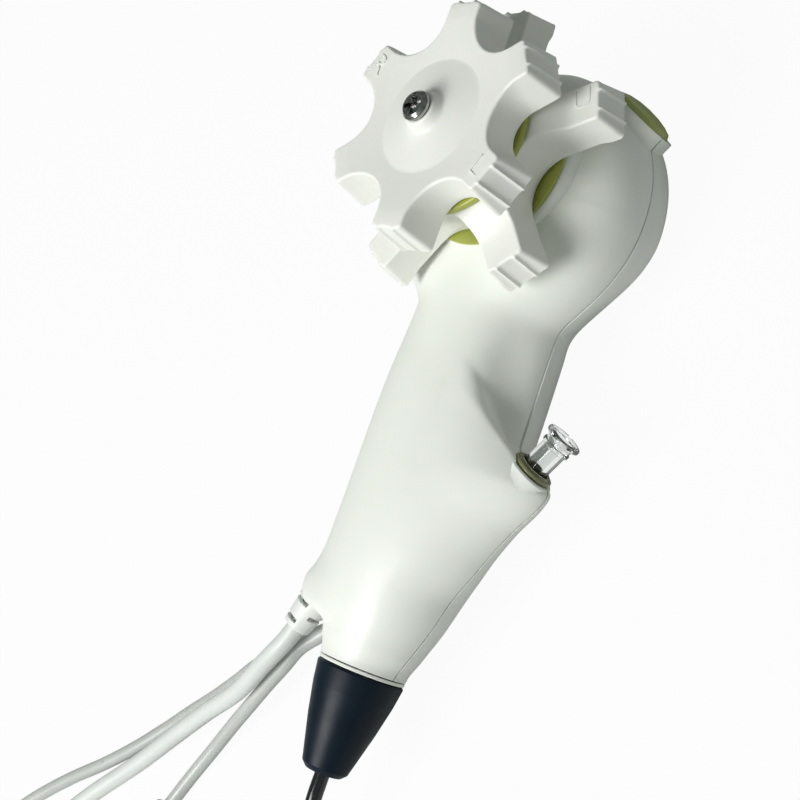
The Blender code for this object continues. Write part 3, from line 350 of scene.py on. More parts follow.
PORT_CLEAR = Finish("port_clear", "port", (0.860, 0.880, 0.868), (0.800, 0.825, 0.812),
                    Texture.CLEAR, patch=0.004, grain=0.0012, relief=0.000004,
                    roughness=(0.02, 0.06), transmission=1.0, ior=1.49)
# Chrome whose darker tone, in patches about a millimetre across, is painted reflection: dark
# reflections put into its colour.
SCREW_CHROME_PAINTED_REFLECTIONS = Finish("screw_chrome_painted_reflections", "steel", (0.50, 0.50, 0.48), (0.24, 0.24, 0.23),
                      Texture.TURNED, patch=0.0012, grain=0.00025, relief=0.000012,
                      roughness=(0.10, 0.24), metallic=1.0, centre=KNOB)
STEEL_BRUSHED = Finish("steel_brushed", "steel", (0.66, 0.67, 0.68), (0.50, 0.51, 0.52),
                       Texture.BRUSHED, patch=0.003, grain=0.0002, relief=0.000004,
                       roughness=(0.20, 0.36), metallic=1.0)
STEEL_TURNED = Finish("steel_turned", "steel", (0.68, 0.69, 0.70), (0.56, 0.57, 0.58),
                      Texture.TURNED, grain=0.0003, relief=0.000004, roughness=(0.16, 0.30),
                      metallic=1.0, centre=KNOB)
DRUM_BRASS = Finish("drum_brass", "drum", (0.72, 0.53, 0.23), (0.58, 0.40, 0.15),
                    Texture.TURNED, grain=0.0003, relief=0.000005, roughness=(0.22, 0.36),
                    metallic=1.0, centre=KNOB)
BOARD_GREEN = Finish("board_green", "board", (0.030, 0.230, 0.090), (0.012, 0.110, 0.045),
                     Texture.BOARD, patch=0.005, grain=0.0003, roughness=(0.30, 0.45), coat=0.4)
SHEATH_BLACK = Finish("sheath_black", "tube", (0.010, 0.010, 0.012), (0.006, 0.006, 0.007),
                      Texture.SHEATH, patch=0.5, relief=0.000008, roughness=(0.14, 0.22), coat=0.3)
TIP_BLACK = Finish("tip_black", "tube", (0.014, 0.014, 0.016), (0.009, 0.009, 0.010), patch=0.002,
                   grain=0.0002, relief=0.000006, roughness=(0.22, 0.34))
LEAD_WHITE = Finish("lead_white", "cable", (0.72, 0.745, 0.715), (0.680, 0.708, 0.678),
                    Texture.SHEATH, patch=0.6, relief=0.000012, roughness=(0.34, 0.46),
                    subsurface=0.1)
PLUG_WHITE = Finish("plug_white", "cable", (0.79, 0.81, 0.775), (0.765, 0.785, 0.750),
                    patch=0.006, grain=0.00025)
LINE_GREY = Finish("line_grey", "tubing", (0.620, 0.640, 0.610), (0.560, 0.585, 0.555),
                   Texture.SHEATH, patch=0.5, relief=0.000010, roughness=(0.26, 0.38),
                   transmission=0.15, subsurface=0.2)
FITTING_WHITE = Finish("fitting_white", "housing", (0.76, 0.785, 0.745), (0.73, 0.755, 0.715),
                       patch=0.004, grain=0.0002, roughness=(0.30, 0.42))
LENS_GLASS = Finish("lens_glass", "lens", (0.93, 0.96, 0.98), (0.88, 0.92, 0.95),
                    Texture.CLEAR, patch=0.001, grain=0.001, relief=0.000001,
                    roughness=(0.01, 0.03), transmission=1.0, ior=1.62)


def facing(angle: float) -> Vector:
    """A level direction at an angle in degrees from +X."""
    return Vector((math.cos(math.radians(angle)), math.sin(math.radians(angle)), 0.0))


def along(direction: Sequence[float], origin: Sequence[float] = (0, 0, 0)) -> Matrix:
    """A frame at an origin whose Z points along a direction."""
    turn = Vector(direction).normalized().to_track_quat("Z", "X").to_matrix().to_4x4()
    return Matrix.Translation(Vector(origin)) @ turn


def eased(t: float | np.ndarray) -> float | np.ndarray:
    """A value from 0 to 1 that starts and ends slowly."""
    return t * t * (3 - 2 * t)


@contextmanager
def edited(mesh: bpy.types.Mesh) -> Iterator[bmesh.types.BMesh]:
    """A mesh opened for work, and written back at the end.

    Args:
        mesh: the mesh.

    Yields:
        its points, edges and faces.
    """
    work = bmesh.new()
    work.from_mesh(mesh)
    yield work
    work.to_mesh(mesh)
    work.free()


def grid_mesh(name: str, grid: np.ndarray, closed: bool = True,
              caps: bool = False) -> bpy.types.Mesh:
    """A mesh of quads over a grid of points.

    Args:
        name: the mesh's name.
        grid: points as rows by columns by 3.
        closed: whether the last column joins the first.
        caps: whether the first and last rows are filled.

    Returns:
        the mesh.
    """
    rows, columns = grid.shape[:2]
    width = columns if closed else columns - 1
    faces = [
        (i * columns + j, i * columns + (j + 1) % columns,
         (i + 1) * columns + (j + 1) % columns, (i + 1) * columns + j)
        for i in range(rows - 1) for j in range(width)
    ]
    if caps:
        faces.append(tuple(range(columns)))
        faces.append(tuple(reversed(range((rows - 1) * columns, rows * columns))))
    mesh = bpy.data.meshes.new(name)
    mesh.from_pydata(grid.reshape(-1, 3).tolist(), [], faces)
    return mesh


def tidied(mesh: bpy.types.Mesh, near: float = 0.0000015) -> bpy.types.Mesh:
    """Merges a mesh's doubles and points its faces out.

    Args:
        mesh: the mesh.
        near: how near two points are merged.

    Returns:
        the same mesh.
    """
    with edited(mesh) as work:
        bmesh.ops.remove_doubles(work, verts=work.verts, dist=near)
        bmesh.ops.recalc_face_normals(work, faces=work.faces)
    return mesh


def filleted(corners: Corners, closed: bool = False, arc: int = 5) -> Profile:
    """A flat outline with rounded corners.

    Args:
        corners: (x, y, radius) of each corner, a radius of 0 staying sharp.
        closed: whether the last corner joins the first.
        arc: points on each rounding.

    Returns:
        the points of the outline.
    """
    count = len(corners)
    made: Profile = []
    for i, (x, y, radius) in enumerate(corners):
        if radius <= 0 or (not closed and i in (0, count - 1)):
            made.append((x, y))
            continue
        at = Vector((x, y))
        before = Vector(corners[i - 1][:2]) - at
        after = Vector(corners[(i + 1) % count][:2]) - at
        longest = min(before.length * 0.49, after.length * 0.49)
        reach = min(radius / max(math.tan(before.angle(after) / 2), 0.01), longest)
        start = at + before.normalized() * reach
        end = at + after.normalized() * reach
        for k in range(arc + 1):
            t = k / arc
            point = start * (1 - t) ** 2 + at * (2 * t * (1 - t)) + end * t * t
            made.append((point.x, point.y))
    return made


def revolved(name: str, profile: Profile, place: Matrix = Matrix.Identity(4), steps: int = 96,
             closed: bool = False) -> bpy.types.Mesh:
    """A turned body.

    Args:
        name: the mesh's name.
        profile: (radius, height) points down its outer side.
        place: the frame whose Z is its axis.
        steps: how many sides it has.
        closed: whether the profile's end joins its start.

    Returns:
        the mesh.
    """
    points = np.array(profile + profile[:1] if closed else profile, float)
    angles = np.linspace(0, math.tau, steps, endpoint=False)
    r, z = points[:, :1], points[:, 1:]
    grid = np.stack([r * np.cos(angles), r * np.sin(angles), z + 0 * angles], axis=2)
    mesh = tidied(grid_mesh(name, grid))
    mesh.transform(place)
    return mesh


def turned(name: str, corners: Corners, closed: bool = False,
           place: Matrix = Matrix.Identity(4), steps: int = 96, arc: int = 5) -> bpy.types.Mesh:
    """A turned body with rounded corners.

    Args:
        name: the mesh's name.
        corners: (radius, height, rounding) of each corner.
        closed: whether the last corner joins the first.
        place: the frame whose Z is its axis.
        steps: how many sides it has.
        arc: points on each rounding.

    Returns:
        the mesh.
    """
    return revolved(name, filleted(corners, closed, arc), place, steps, closed)


def baked(source: bpy.types.Object) -> bpy.types.Mesh:
    """The plain mesh of an object's modifiers, with the object removed.

    Args:
        source: the object.

    Returns:
        the mesh.
    """
    bpy.context.view_layer.update()
    view = source.evaluated_get(bpy.context.evaluated_depsgraph_get())
    mesh = bpy.data.meshes.new_from_object(view)
    bpy.data.objects.remove(source, do_unlink=True)
    return mesh


def loose(name: str, data: bpy.types.ID) -> bpy.types.Object:
    """A linked object, not yet a piece.

    Args:
        name: the object's name.
        data: its mesh, curve, lamp or camera.

    Returns:
        the object.
    """
    made = bpy.data.objects.new(name, data)
    bpy.context.scene.collection.objects.link(made)
    return made


def cut(mesh: bpy.types.Mesh, steps: Sequence[tuple[str, bpy.types.Mesh]]) -> bpy.types.Mesh:
    """A mesh after a list of booleans.

    Args:
        mesh: the mesh to work on.
        steps: the (operation, mesh) of each boolean, in order.

    Returns:
        the result, closed.
    """
    made = loose(mesh.name, mesh)
    tools: list[bpy.types.Object] = []
    for number, (operation, other) in enumerate(steps):
        tool = loose(f"tool_{number}", other)
        change = made.modifiers.new(f"cut_{number}", "BOOLEAN")
        change.operation = operation
        change.solver = "EXACT"
        change.object = tool
        tools.append(tool)
    result = baked(made)
    for tool in tools:
        bpy.data.objects.remove(tool, do_unlink=True)
    return healed(result)


def healed(mesh: bpy.types.Mesh, near: float = 0.000003, sides: int = 30) -> bpy.types.Mesh:
    """Closes the slivers that booleans leave in a mesh.

    Args:
        mesh: the mesh.
        near: how near two points are merged.
        sides: the most edges that a hole may have to be filled.

    Returns:
        the same mesh.
    """
    with edited(mesh) as work:
        bmesh.ops.remove_doubles(work, verts=work.verts, dist=near)
        bmesh.ops.dissolve_degenerate(work, dist=near * 0.7, edges=work.edges)
        wires = [edge for edge in work.edges if edge.is_wire]
        bmesh.ops.delete(work, geom=wires, context="EDGES")
        rims = [edge for edge in work.edges if edge.is_boundary]
        if rims:
            bmesh.ops.holes_fill(work, edges=rims, sides=sides)
        bmesh.ops.recalc_face_normals(work, faces=work.faces)
    return mesh


def box_mesh(size: Point, centre: Point, place: Matrix = Matrix.Identity(4)) -> bpy.types.Mesh:
    """A box.

    Args:
        size: its three sides.
        centre: its middle in its frame.
        place: the frame.

    Returns:
        the mesh.
    """
    mesh = bpy.data.meshes.new("box")
    with edited(mesh) as work:
        bmesh.ops.create_cube(work, size=1.0)
        bmesh.ops.scale(work, vec=size, verts=work.verts)
        bmesh.ops.translate(work, vec=centre, verts=work.verts)
    mesh.transform(place)
    return mesh


def joined(name: str, meshes: Sequence[bpy.types.Mesh]) -> bpy.types.Mesh:
    """Several meshes as one.

    Args:
        name: the new mesh's name.
        meshes: the meshes.

    Returns:
        the new mesh.
    """
    made = bpy.data.meshes.new(name)
    with edited(made) as work:
        for mesh in meshes:
            work.from_mesh(mesh)
    return made


def dressed(name: str, mesh: bpy.types.Mesh, finish: Finish, body: str, *nodes: str,
            sharp: float = 40.0) -> bpy.types.Object:
    """A finished piece that rides on its body.

    Args:
        name: the piece's name.
        mesh: its mesh, about the knob axis.
        finish: its material.
        body: the body that it rides on.
        nodes: the CAD nodes that it stands for.
        sharp: the angle in degrees past which an edge isn't shaded smooth.

    Returns:
        the piece.
    """
    mesh.transform(Matrix.Translation(HOME))
    mesh.materials.clear()
    mesh.materials.append(finish.material())
    mesh.shade_smooth()
    mesh.set_sharp_from_angle(angle=math.radians(sharp))
    made = loose(name, mesh)
    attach(made, body)
    if nodes:
        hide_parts(*nodes)
    LOG.info("%s: %d faces on %s", name, len(mesh.polygons), body)
    return made


def smooth_route(route: Sequence[Sequence[float]], spacing: float,
                 steps: int = 25) -> np.ndarray:
    """Points at an even spacing on a smooth curve through a route.

    Args:
        route: the points that it passes.
        spacing: the distance between its points.
        steps: how finely each stretch is first worked out.

    Returns:
        the points.
    """
    knots = np.array(route, float)
    padded = np.vstack([2 * knots[0] - knots[1], knots, 2 * knots[-1] - knots[-2]])
    fine = [knots[0]]
    for rows in zip(padded, padded[1:], padded[2:], padded[3:]):
        times = [0.0]
        for a, b in zip(rows, rows[1:]):
            times.append(times[-1] + math.sqrt(np.linalg.norm(b - a)))
        for t in np.linspace(times[1], times[2], steps)[1:]:
            first = [
                rows[i] * (times[i + 1] - t) / (times[i + 1] - times[i])
                + rows[i + 1] * (t - times[i]) / (times[i + 1] - times[i])
                for i in range(3)
            ]
            second = [
                first[i] * (times[i + 2] - t) / (times[i + 2] - times[i])
                + first[i + 1] * (t - times[i]) / (times[i + 2] - times[i])
                for i in range(2)
            ]
            fine.append(second[0] * (times[2] - t) / (times[2] - times[1])
                        + second[1] * (t - times[1]) / (times[2] - times[1]))
    return evenly(np.array(fine), spacing)


def travelled(line: np.ndarray) -> np.ndarray:
    """How far along a line each of its points is."""
    return np.concatenate([[0], np.cumsum(np.linalg.norm(np.diff(line, axis=0), axis=1))])


def evenly(line: np.ndarray, spacing: float) -> np.ndarray:
    """A line's points again, at an even spacing.

    Args:
        line: the points.
        spacing: the distance between the new points.

    Returns:
        the new points.
    """
    reach = travelled(line)
    at = np.linspace(0, reach[-1], max(2, round(reach[-1] / spacing) + 1))
    return np.stack([np.interp(at, reach, line[:, k]) for k in range(3)], axis=1)


def line_length(line: np.ndarray) -> float:
    """The length of a line of points."""
    return float(np.linalg.norm(np.diff(line, axis=0), axis=1).sum())


def tube_mesh(name: str, line: np.ndarray, radius: float, sides: int = 20,
              per_metre: float = 40.0) -> bpy.types.Mesh:
    """A round tube along a line, with its own map that goes once round it.

    Args:
        name: the mesh's name.
        line: the points of its middle.
        radius: its radius.
        sides: how many sides it has.
        per_metre: how far its map goes for each metre along.

    Returns:
        the closed mesh.
    """
    ahead = np.gradient(line, axis=0)
    ahead /= np.linalg.norm(ahead, axis=1)[:, None]
    normal = np.cross(ahead[0], (0.0, 0.0, 1.0))
    normal /= np.linalg.norm(normal)
    angles = np.linspace(0, math.tau, sides, endpoint=False)[:, None]
    rings = []
    for at, direction in zip(line, ahead):
        normal = normal - direction * (normal @ direction)
        normal /= np.linalg.norm(normal)
        other = np.cross(direction, normal)
        rings.append(at + radius * (np.cos(angles) * normal + np.sin(angles) * other))
    mesh = grid_mesh(name, np.array(rings), caps=True)
    reach = travelled(line)
    chart = mesh.uv_layers.new(name="UVMap")
    for polygon in mesh.polygons:
        corners = polygon.vertices
        seam = len(corners) == 4 and corners[1] % sides == 0
        for loop, vertex in zip(polygon.loop_indices, corners):
            around = 1.0 if seam and vertex % sides == 0 else (vertex % sides) / sides
            chart.data[loop].uv = (around, reach[vertex // sides] * per_metre)
    with edited(mesh) as work:
        bmesh.ops.recalc_face_normals(work, faces=work.faces)
    return mesh


class Pattern:
    """A Geometry Nodes tree that repeats a shape round an axis or along a line."""

    def __init__(self, name: str, turned: bool) -> None:
        """Builds the tree with its named inputs.

        Args:
            name: the tree's name.
            turned: whether the copies go round Z, and not along a line.
        """
        self.tree = bpy.data.node_groups.new(name, "GeometryNodeTree")
        self.turned = turned
        self.sockets: dict[str, str] = {}
        face = self.tree.interface
        face.new_socket("Geometry", in_out="INPUT", socket_type="NodeSocketGeometry")
        face.new_socket("Geometry", in_out="OUTPUT", socket_type="NodeSocketGeometry")
        for title, kind in (("Count", "NodeSocketInt"), ("Step", "NodeSocketVector"),
                            ("Start", "NodeSocketVector"), ("Merge Distance", "NodeSocketFloat"),
                            ("Finish", "NodeSocketMaterial")):
            socket = face.new_socket(title, in_out="INPUT", socket_type=kind)
            self.sockets[title] = socket.identifier
        self._build()

    def _build(self) -> None:
        """Adds the nodes and their links."""
        nodes = Nodes(self.tree)
        given = nodes.add("NodeGroupInput", {}).outputs
        index = nodes.add("GeometryNodeInputIndex", {})
        scale = nodes.add("ShaderNodeVectorMath", {
            0: given["Step"], "Scale": index.outputs["Index"]}, operation="SCALE")
        shift = nodes.add("ShaderNodeVectorMath", {
            0: scale.outputs["Vector"], 1: given["Start"]}, operation="ADD").outputs["Vector"]
        points = nodes.add("GeometryNodePoints", {"Count": given["Count"]})
        copies = nodes.add("GeometryNodeInstanceOnPoints", {
            "Points": points.outputs[0], "Instance": given["Geometry"]})
        if self.turned:
            nodes.feed(copies, {"Rotation": shift})
        else:
            nodes.feed(points, {"Position": shift})
        real = nodes.add("GeometryNodeRealizeInstances", {"Geometry": copies.outputs["Instances"]})
        weld = nodes.add("GeometryNodeMergeByDistance", {
            "Geometry": real.outputs["Geometry"], "Distance": given["Merge Distance"]})
        paint = nodes.add("GeometryNodeSetMaterial", {
            "Geometry": weld.outputs["Geometry"], "Material": given["Finish"]})
        nodes.add("NodeGroupOutput", {"Geometry": paint.outputs["Geometry"]})

    def repeat(self, mesh: bpy.types.Mesh, count: int, step: Point, finish: Finish,
               start: Point = (0.0, 0.0, 0.0), near: float = 0.0) -> bpy.types.Mesh:
        """The copies of a shape as one plain mesh.

        Args:
            mesh: the shape.
            count: how many copies.
            step: the turn or the move from one copy to the next.
            finish: the material of the copies.
            start: the turn or the place of the first copy.
            near: how near points are welded.

        Returns:
            the mesh.
        """
        source = loose(mesh.name, mesh)
        modifier = source.modifiers.new(self.tree.name, "NODES")
        modifier.node_group = self.tree
        given = {"Count": count, "Step": step, "Start": start, "Merge Distance": near,
                 "Finish": finish.material()}
        for title, value in given.items():
            modifier[self.sockets[title]] = value
        return tidied(baked(source), 0.0000005)


@dataclass
class Studio:
    """The camera, the floor, the lights and the pale surroundings.

    Attributes:
        lens: the camera's focal length in millimetres.
        right: which way the picture's right side lies.
        up: which way its top lies.
        back: which way the camera's back faces.
        eye: where the camera stands, from the knob axis.
        aim: what the lamps point at.
        lamp_size: how wide the lamps are.
        lamps: the name, the place and the power of each.
        floor_size: half of the floor's width.
        floor_colour: the floor's colour in the light.
        floor_seen: how much of its plain white the camera sees.
        around_colour: the surroundings' colour as a light.
        around_strength: how strong that light is.
    """

    lens: float = 65.854
    right: Point = (0.674507, 0.359845, -0.644633)
    up: Point = (-0.183534, 0.927488, 0.325701)
    back: Point = (0.715091, -0.101376, 0.691641)
    eye: Point = (0.224137, -0.087813, 0.193763 + KNOB_Z)
    aim: Point = (0.0, 0.0, 0.02)
    lamp_size: float = 0.60
    lamps: tuple[tuple[str, Point, float], ...] = (
        ("key_light", (-0.12, -0.68, 0.90), 12.9), ("fill_light", (0.75, -0.45, 0.55), 0.20))
    floor_size: float = 3.0
    floor_colour: Colour = (0.60, 0.61, 0.60)
    floor_seen: float = 0.95
    around_colour: Colour = (0.90, 1.0, 0.94)
    around_strength: float = 0.185

    def build(self) -> None:
        """Makes the camera at the photograph's angle, the floor and the lights."""
        self._camera()
        self._floor()
        self._lights()
        self._world()
        bpy.context.scene.view_settings.view_transform = "Standard"

    @staticmethod
    def _placed(name: str, data: bpy.types.ID, place: Sequence[float],
                turn: Matrix) -> bpy.types.Object:
        """A camera or a lamp in its place.

        Args:
            name: its name.
            data: the camera or the lamp.
            place: where it stands.
            turn: which way it is turned.

        Returns:
            the object.
        """
        made = loose(name, data)
        made.matrix_world = Matrix.Translation(Vector(place)) @ turn
        return made

    def _camera(self) -> None:
        """The camera that the photograph was taken from."""
        data = bpy.data.cameras.new("camera")
        data.sensor_width = 36.0
        data.lens = self.lens
        data.clip_start = 0.01
        data.clip_end = 20.0
        turn = Matrix((self.right, self.up, self.back)).transposed().to_4x4()
        camera = self._placed("camera", data, Vector(self.eye) + HOME, turn)
        bpy.context.scene.camera = camera

    def _floor(self) -> None:
        """A plain pale floor that shows white to the camera but keeps the shadow."""
        mesh = bpy.data.meshes.new("floor")
        with edited(mesh) as work:
            bmesh.ops.create_grid(work, x_segments=2, y_segments=2, size=self.floor_size)
        look = bpy.data.materials.new("floor_white")
        look.use_nodes = True
        tree = look.node_tree
        nodes = Nodes(tree)
        shader = nodes.feed(tree.nodes["Principled BSDF"], {
            "Base Color": (*self.floor_colour, 1.0), "Roughness": 0.9})
        white = nodes.add("ShaderNodeEmission", {})
        path = nodes.add("ShaderNodeLightPath", {})
        seen = nodes.add("ShaderNodeMath", {
            0: path.outputs["Is Camera Ray"], 1: path.outputs["Is Transmission Ray"]},
            operation="MAXIMUM")
        share = nodes.add("ShaderNodeMath", {0: seen.outputs["Value"], 1: self.floor_seen},
                          operation="MULTIPLY")
        mixed = nodes.add("ShaderNodeMixShader", {
            "Fac": share.outputs["Value"], 1: shader.outputs["BSDF"],
            2: white.outputs["Emission"]})
        nodes.feed(tree.nodes["Material Output"], {"Surface": mixed.outputs["Shader"]})
        mesh.materials.append(look)
        loose("floor", mesh)

    def _lights(self) -> None:
        """Soft boxes above and to the left."""
        for name, place, power in self.lamps:
            data = bpy.data.lights.new(name, "AREA")
            data.shape = "SQUARE"
            data.size = self.lamp_size
            data.energy = power
            way = Vector(self.aim) - Vector(place)
            self._placed(name, data, place, way.to_track_quat("-Z", "Y").to_matrix().to_4x4())

    def _world(self) -> None:
        """Pale surroundings that the camera sees as white."""
        world = bpy.data.worlds.new("studio")
        bpy.context.scene.world = world
        world.use_nodes = True
        tree = world.node_tree
        nodes = Nodes(tree)
        around = nodes.feed(tree.nodes["Background"], {
            "Color": (*self.around_colour, 1.0), "Strength": self.around_strength})
        white = nodes.add("ShaderNodeBackground", {"Color": WHITE, "Strength": 1.0})
        path = nodes.add("ShaderNodeLightPath", {})
        mixed = nodes.add("ShaderNodeMixShader", {
            "Fac": path.outputs["Is Camera Ray"], 1: around.outputs["Background"],
            2: white.outputs["Background"]})
        nodes.feed(tree.nodes["World Output"], {"Surface": mixed.outputs["Shader"]})


@dataclass
class Coil:
    """A neat coil that lies on the floor: turns beside and on each other.

    Attributes:
        centre: its middle on the floor.
        radius: the radius of its middle turn.
        cord: the cord's own radius.
        across: how many turns lie side by side in each of its two layers.
        start_angle: where the cord comes in.
        end_angle: where it leaves.
        shift_angle: where it steps to the next turn.
        change: how many degrees that step takes.
        packing: the distance of two turns over the cord's diameter.
        step: degrees between two points.
    """

    centre: tuple[float, float]
    radius: float
    cord: float
    across: int
    start_angle: float
    end_angle: float = 360.0
    shift_angle: float = 60.0
    change: float = 40.0
    packing: float = 1.01
    step: float = 7.5

    def points(self) -> np.ndarray:
        """Follows the cord from the outer bottom turn in, and out again on top.

        Returns:
            the points of the cord's middle line.
        """
        slots = [(i, 0) for i in range(self.across)]
        slots += [(i, 1) for i in reversed(range(self.across))]
        pitch = 2 * self.cord * self.packing
        outer = self.radius + pitch * (self.across - 1) / 2
        first = self.shift_angle
        while first <= self.start_angle + self.change:
            first += 360.0
        shifts = [first + 360.0 * turn for turn in range(len(slots) - 1)]
        end = self.end_angle
        while end <= shifts[-1] + self.change:
            end += 360.0
        span = end - self.start_angle
        line = []
        for angle in np.arange(self.start_angle, end + 0.01, span / round(span / self.step)):
            passed = sum(1 for shift in shifts if angle >= shift + self.change)
            ring, layer = slots[passed]
            r = outer - ring * pitch
            z = self.cord + LIFT + layer * pitch
            if passed < len(shifts) and angle > shifts[passed]:
                t = (angle - shifts[passed]) / self.change
                next_ring, next_layer = slots[passed + 1]
                r += (outer - next_ring * pitch - r) * eased(max(t * 2 - 1.0, 0.0))
                z += (next_layer - layer) * pitch * eased(min(t * 2, 1.0))
            line.append((self.centre[0] + r * math.cos(math.radians(angle)),
                         self.centre[1] + r * math.sin(math.radians(angle)), z))
        return np.array(line)


@dataclass
class Lines:
    """The insertion tube, the camera's lead and the two thin lines, with what is on their ends."""

    tube_radius: float = 0.00175
    tube_coil: Point = (0.0227675, -0.1985, 0.0210)
    tube_root: float = -0.1122
    tube_spacing: float = 0.0018
    tube_drop: Table = (
        (0.0, 0.0), (0.008, 0.0006), (0.016, 0.0030), (0.024, 0.0078), (0.032, 0.0125),
    )
    lead_radius: float = 0.0023
    lead_coil: Point = (-0.0991, -0.2444, 0.0270)
    lead_heading: float = 234.8
    lead_run_in: float = 0.0195
    lead_spacing: float = 0.0022
    line_radius: float = 0.00175
    relief_length: float = 0.0082
    plug_rear: float = -0.20940
    plug_axis: float = 0.0055
    boot_end: float = -0.1367
    bend_start: float = -0.1758
    # Where past the boot the tube nears the floor and how far above it, and where before its coil
    # it lies flat. Then how far the lead and a thin line start inside and first go straight on.
    landing: float = 0.040
    landing_rise: float = 0.0006
    landed: float = 0.012
    in_relief: float = 0.005
    past_relief: float = 0.004
    in_shell: float = 0.006
    past_shell: float = 0.008
    lead_route: tuple[Point, ...] = (
        (-0.0285, -0.1178, 0.0175), (-0.0328, -0.1225, 0.0160), (-0.0404, -0.1304, 0.0128),
        (-0.0538, -0.1405, 0.0086), (-0.0662, -0.1508, 0.0050), (-0.0767, -0.1609, 0.0031),
        (-0.0930, -0.1775, 0.0025), (-0.1050, -0.1930, 0.0025),
    )
    line_routes: tuple[tuple[str, tuple[Point, ...]], ...] = (
        ("flushing", (
            (-0.0266, -0.1154, 0.0124), (-0.0303, -0.1207, 0.0114), (-0.0351, -0.1267, 0.0098),
            (-0.0401, -0.1329, 0.0078), (-0.0459, -0.1399, 0.0054), (-0.0518, -0.1482, 0.0032),
            (-0.0570, -0.1570, 0.0021), (-0.0612, -0.1665, 0.00195),
        )),
        ("suction", (
            (-0.0262, -0.1105, 0.0084), (-0.0355, -0.1180, 0.0086), (-0.0430, -0.1248, 0.0085),
            (-0.0480, -0.1296, 0.0074), (-0.0564, -0.1365, 0.0052), (-0.0656, -0.1435, 0.0030),
            (-0.0724, -0.1496, 0.0020), (-0.0807, -0.1576, 0.00195), (-0.0905, -0.1660, 0.00195),
            (-0.1030, -0.1755, 0.00195), (-0.1140, -0.1850, 0.00195), (-0.1218, -0.1930, 0.00195),
        )),
    )

    def build(self, rows: Pattern) -> None:
        """Makes the cords in order.

        Args:
            rows: the tree that repeats a shape along a line.
        """
        self.build_tube()
        self.build_lead(self.plug(rows))
        self.build_lines()

    def _cord(self, name: str, line: np.ndarray, radius: float, finish: Finish,
              nodes: Sequence[str]) -> None:
        """One cord as a tube, whose length it logs.

        Args:
            name: the piece's name.
            line: the points of its middle.
            radius: its radius.
            finish: its material.
            nodes: the CAD nodes that it stands for.
        """
        line[:, 2] = np.maximum(line[:, 2], radius + LIFT)
        piece = dressed(name, tube_mesh(name, line, radius), finish, "handle", *nodes)
        LOG.info("%s is %.3f m long", name, line_length(line))

    @staticmethod
    def _leave(coil: np.ndarray, start: float, far: float, level: float,
               count: int) -> list[Point]:
        """The run along Y from a coil's top turn down to a level.

        Args:
            coil: the coil's points.
            start: the coil's middle along Y.
            far: where the run ends.
            level: its height there.
            count: how many points it has.

        Returns:
            the points.
        """
        x, _, top = coil[-1]
        return [(x, start + (far - start) * t, level + (top - level) * (1 - eased(t)))
                for t in np.linspace(0.05, 1.0, count)]

    def build_tube(self) -> None:
        """The black insertion tube: out of the boot, down to the floor, coiled, out to the tip."""
        x, y, radius = self.tube_coil
        level = self.tube_radius + LIFT
        out = self.boot_end
        entry = [
            (0, self.tube_root, SEAM_Z),
            *((0, out - away, SEAM_Z - drop) for away, drop in self.tube_drop),
            (0, out - self.landing, level + self.landing_rise), (0, y + self.landed, level),
        ]
        coil = Coil((x, y), radius, self.tube_radius, 2, 180.0).points()
        leave = self._leave(coil, y, self.bend_start, level, 12)
        line = np.vstack([smooth_route(entry, self.tube_spacing), coil, leave])
        self._cord("insertion_sheath", evenly(line, self.tube_spacing), self.tube_radius,
                   SHEATH_BLACK, ("insertion_tube", "insertion_tube_coil", "insertion_tube_end"))

    def build_lead(self, plug: bpy.types.Object) -> None:
        """The camera's white lead: out of its relief, down, coiled, its plug beside the coil.

        Args:
            plug: the plug on its end.
        """
        x, y, radius = self.lead_coil
        aim = facing(RELIEF_ANGLE)
        seat = Vector(RELIEF_SEAT)
        start = self.lead_heading - 90.0
        coil = Coil((x, y), radius, self.lead_radius, 4, start).points()
        run_in = Vector(coil[0]) - facing(self.lead_heading) * self.lead_run_in
        route = [seat - aim * self.in_relief, seat + aim * (self.relief_length + self.past_relief),
                 *self.lead_route, tuple(run_in)]
        leave = self._leave(coil, y, self.plug_rear - GAP, self.plug_axis + LIFT, 16)
        line = np.vstack([smooth_route(route, self.lead_spacing), coil, leave])
        self._cord("camera_lead", evenly(line, self.lead_spacing), self.lead_radius, LEAD_WHITE,
                   ("camera_cable", "camera_cable_coil", "camera_cable_end"))

    def plug(self, rows: Pattern) -> bpy.types.Object:
        """The camera's plug: a grip with ribs and a closed round nose.

        Args:
            rows: the tree that repeats a shape along a line.

        Returns:
            the piece.
        """
        low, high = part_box("camera_plug")
        rear = Vector(((low.x + high.x) / 2, low.y, (low.z + high.z) / 2)) - HOME
        r = (high.x - low.x) / 2
        grip = r - 0.0004
        length = high.y - low.y
        corners = [
            (0, length, 0), (r * 0.72, length, 0.0004), (r * 0.80, length - 0.0006, 0.0003),
            (r * 0.80, length - 0.0080, 0.0002), (grip, length - 0.0086, 0.0006),
            (grip, 0.0080, 0.001), (r * 0.9, 0.0070, 0.001), (r * 0.55, 0.0010, 0.0008),
            (r * 0.45, 0.0, 0.0002), (0, 0, 0),
        ]
        rib: Profile = [(r - 0.0008, 0.0), (r, 0.0002), (r, 0.0005), (r - 0.0008, 0.0007)]
        ribs = rows.repeat(revolved("rib", rib, steps=72, closed=True), 7, (0.0, 0.0, 0.0015),
                           PLUG_WHITE, (0.0, 0.0, 0.0095))
        mesh = cut(turned("lead_plug", corners, steps=72), [("UNION", ribs)])
        mesh.transform(along((0, 1, 0), rear))
        return dressed("lead_plug", mesh, PLUG_WHITE, "handle", "camera_plug")

    def build_lines(self) -> None:
        """The two thin grey lines to their end fittings."""
        for name, route in self.line_routes:
            at, aim = (Vector(value) for value in LINE_EXITS[name])
            ahead = aim.normalized()
            start = [at - ahead * self.in_shell, at, at + ahead * self.past_shell]
            line = smooth_route([*start, *route], self.tube_spacing)
            self._cord(f"{name}_hose", line, self.line_radius, LINE_GREY, (f"{name}_line",))


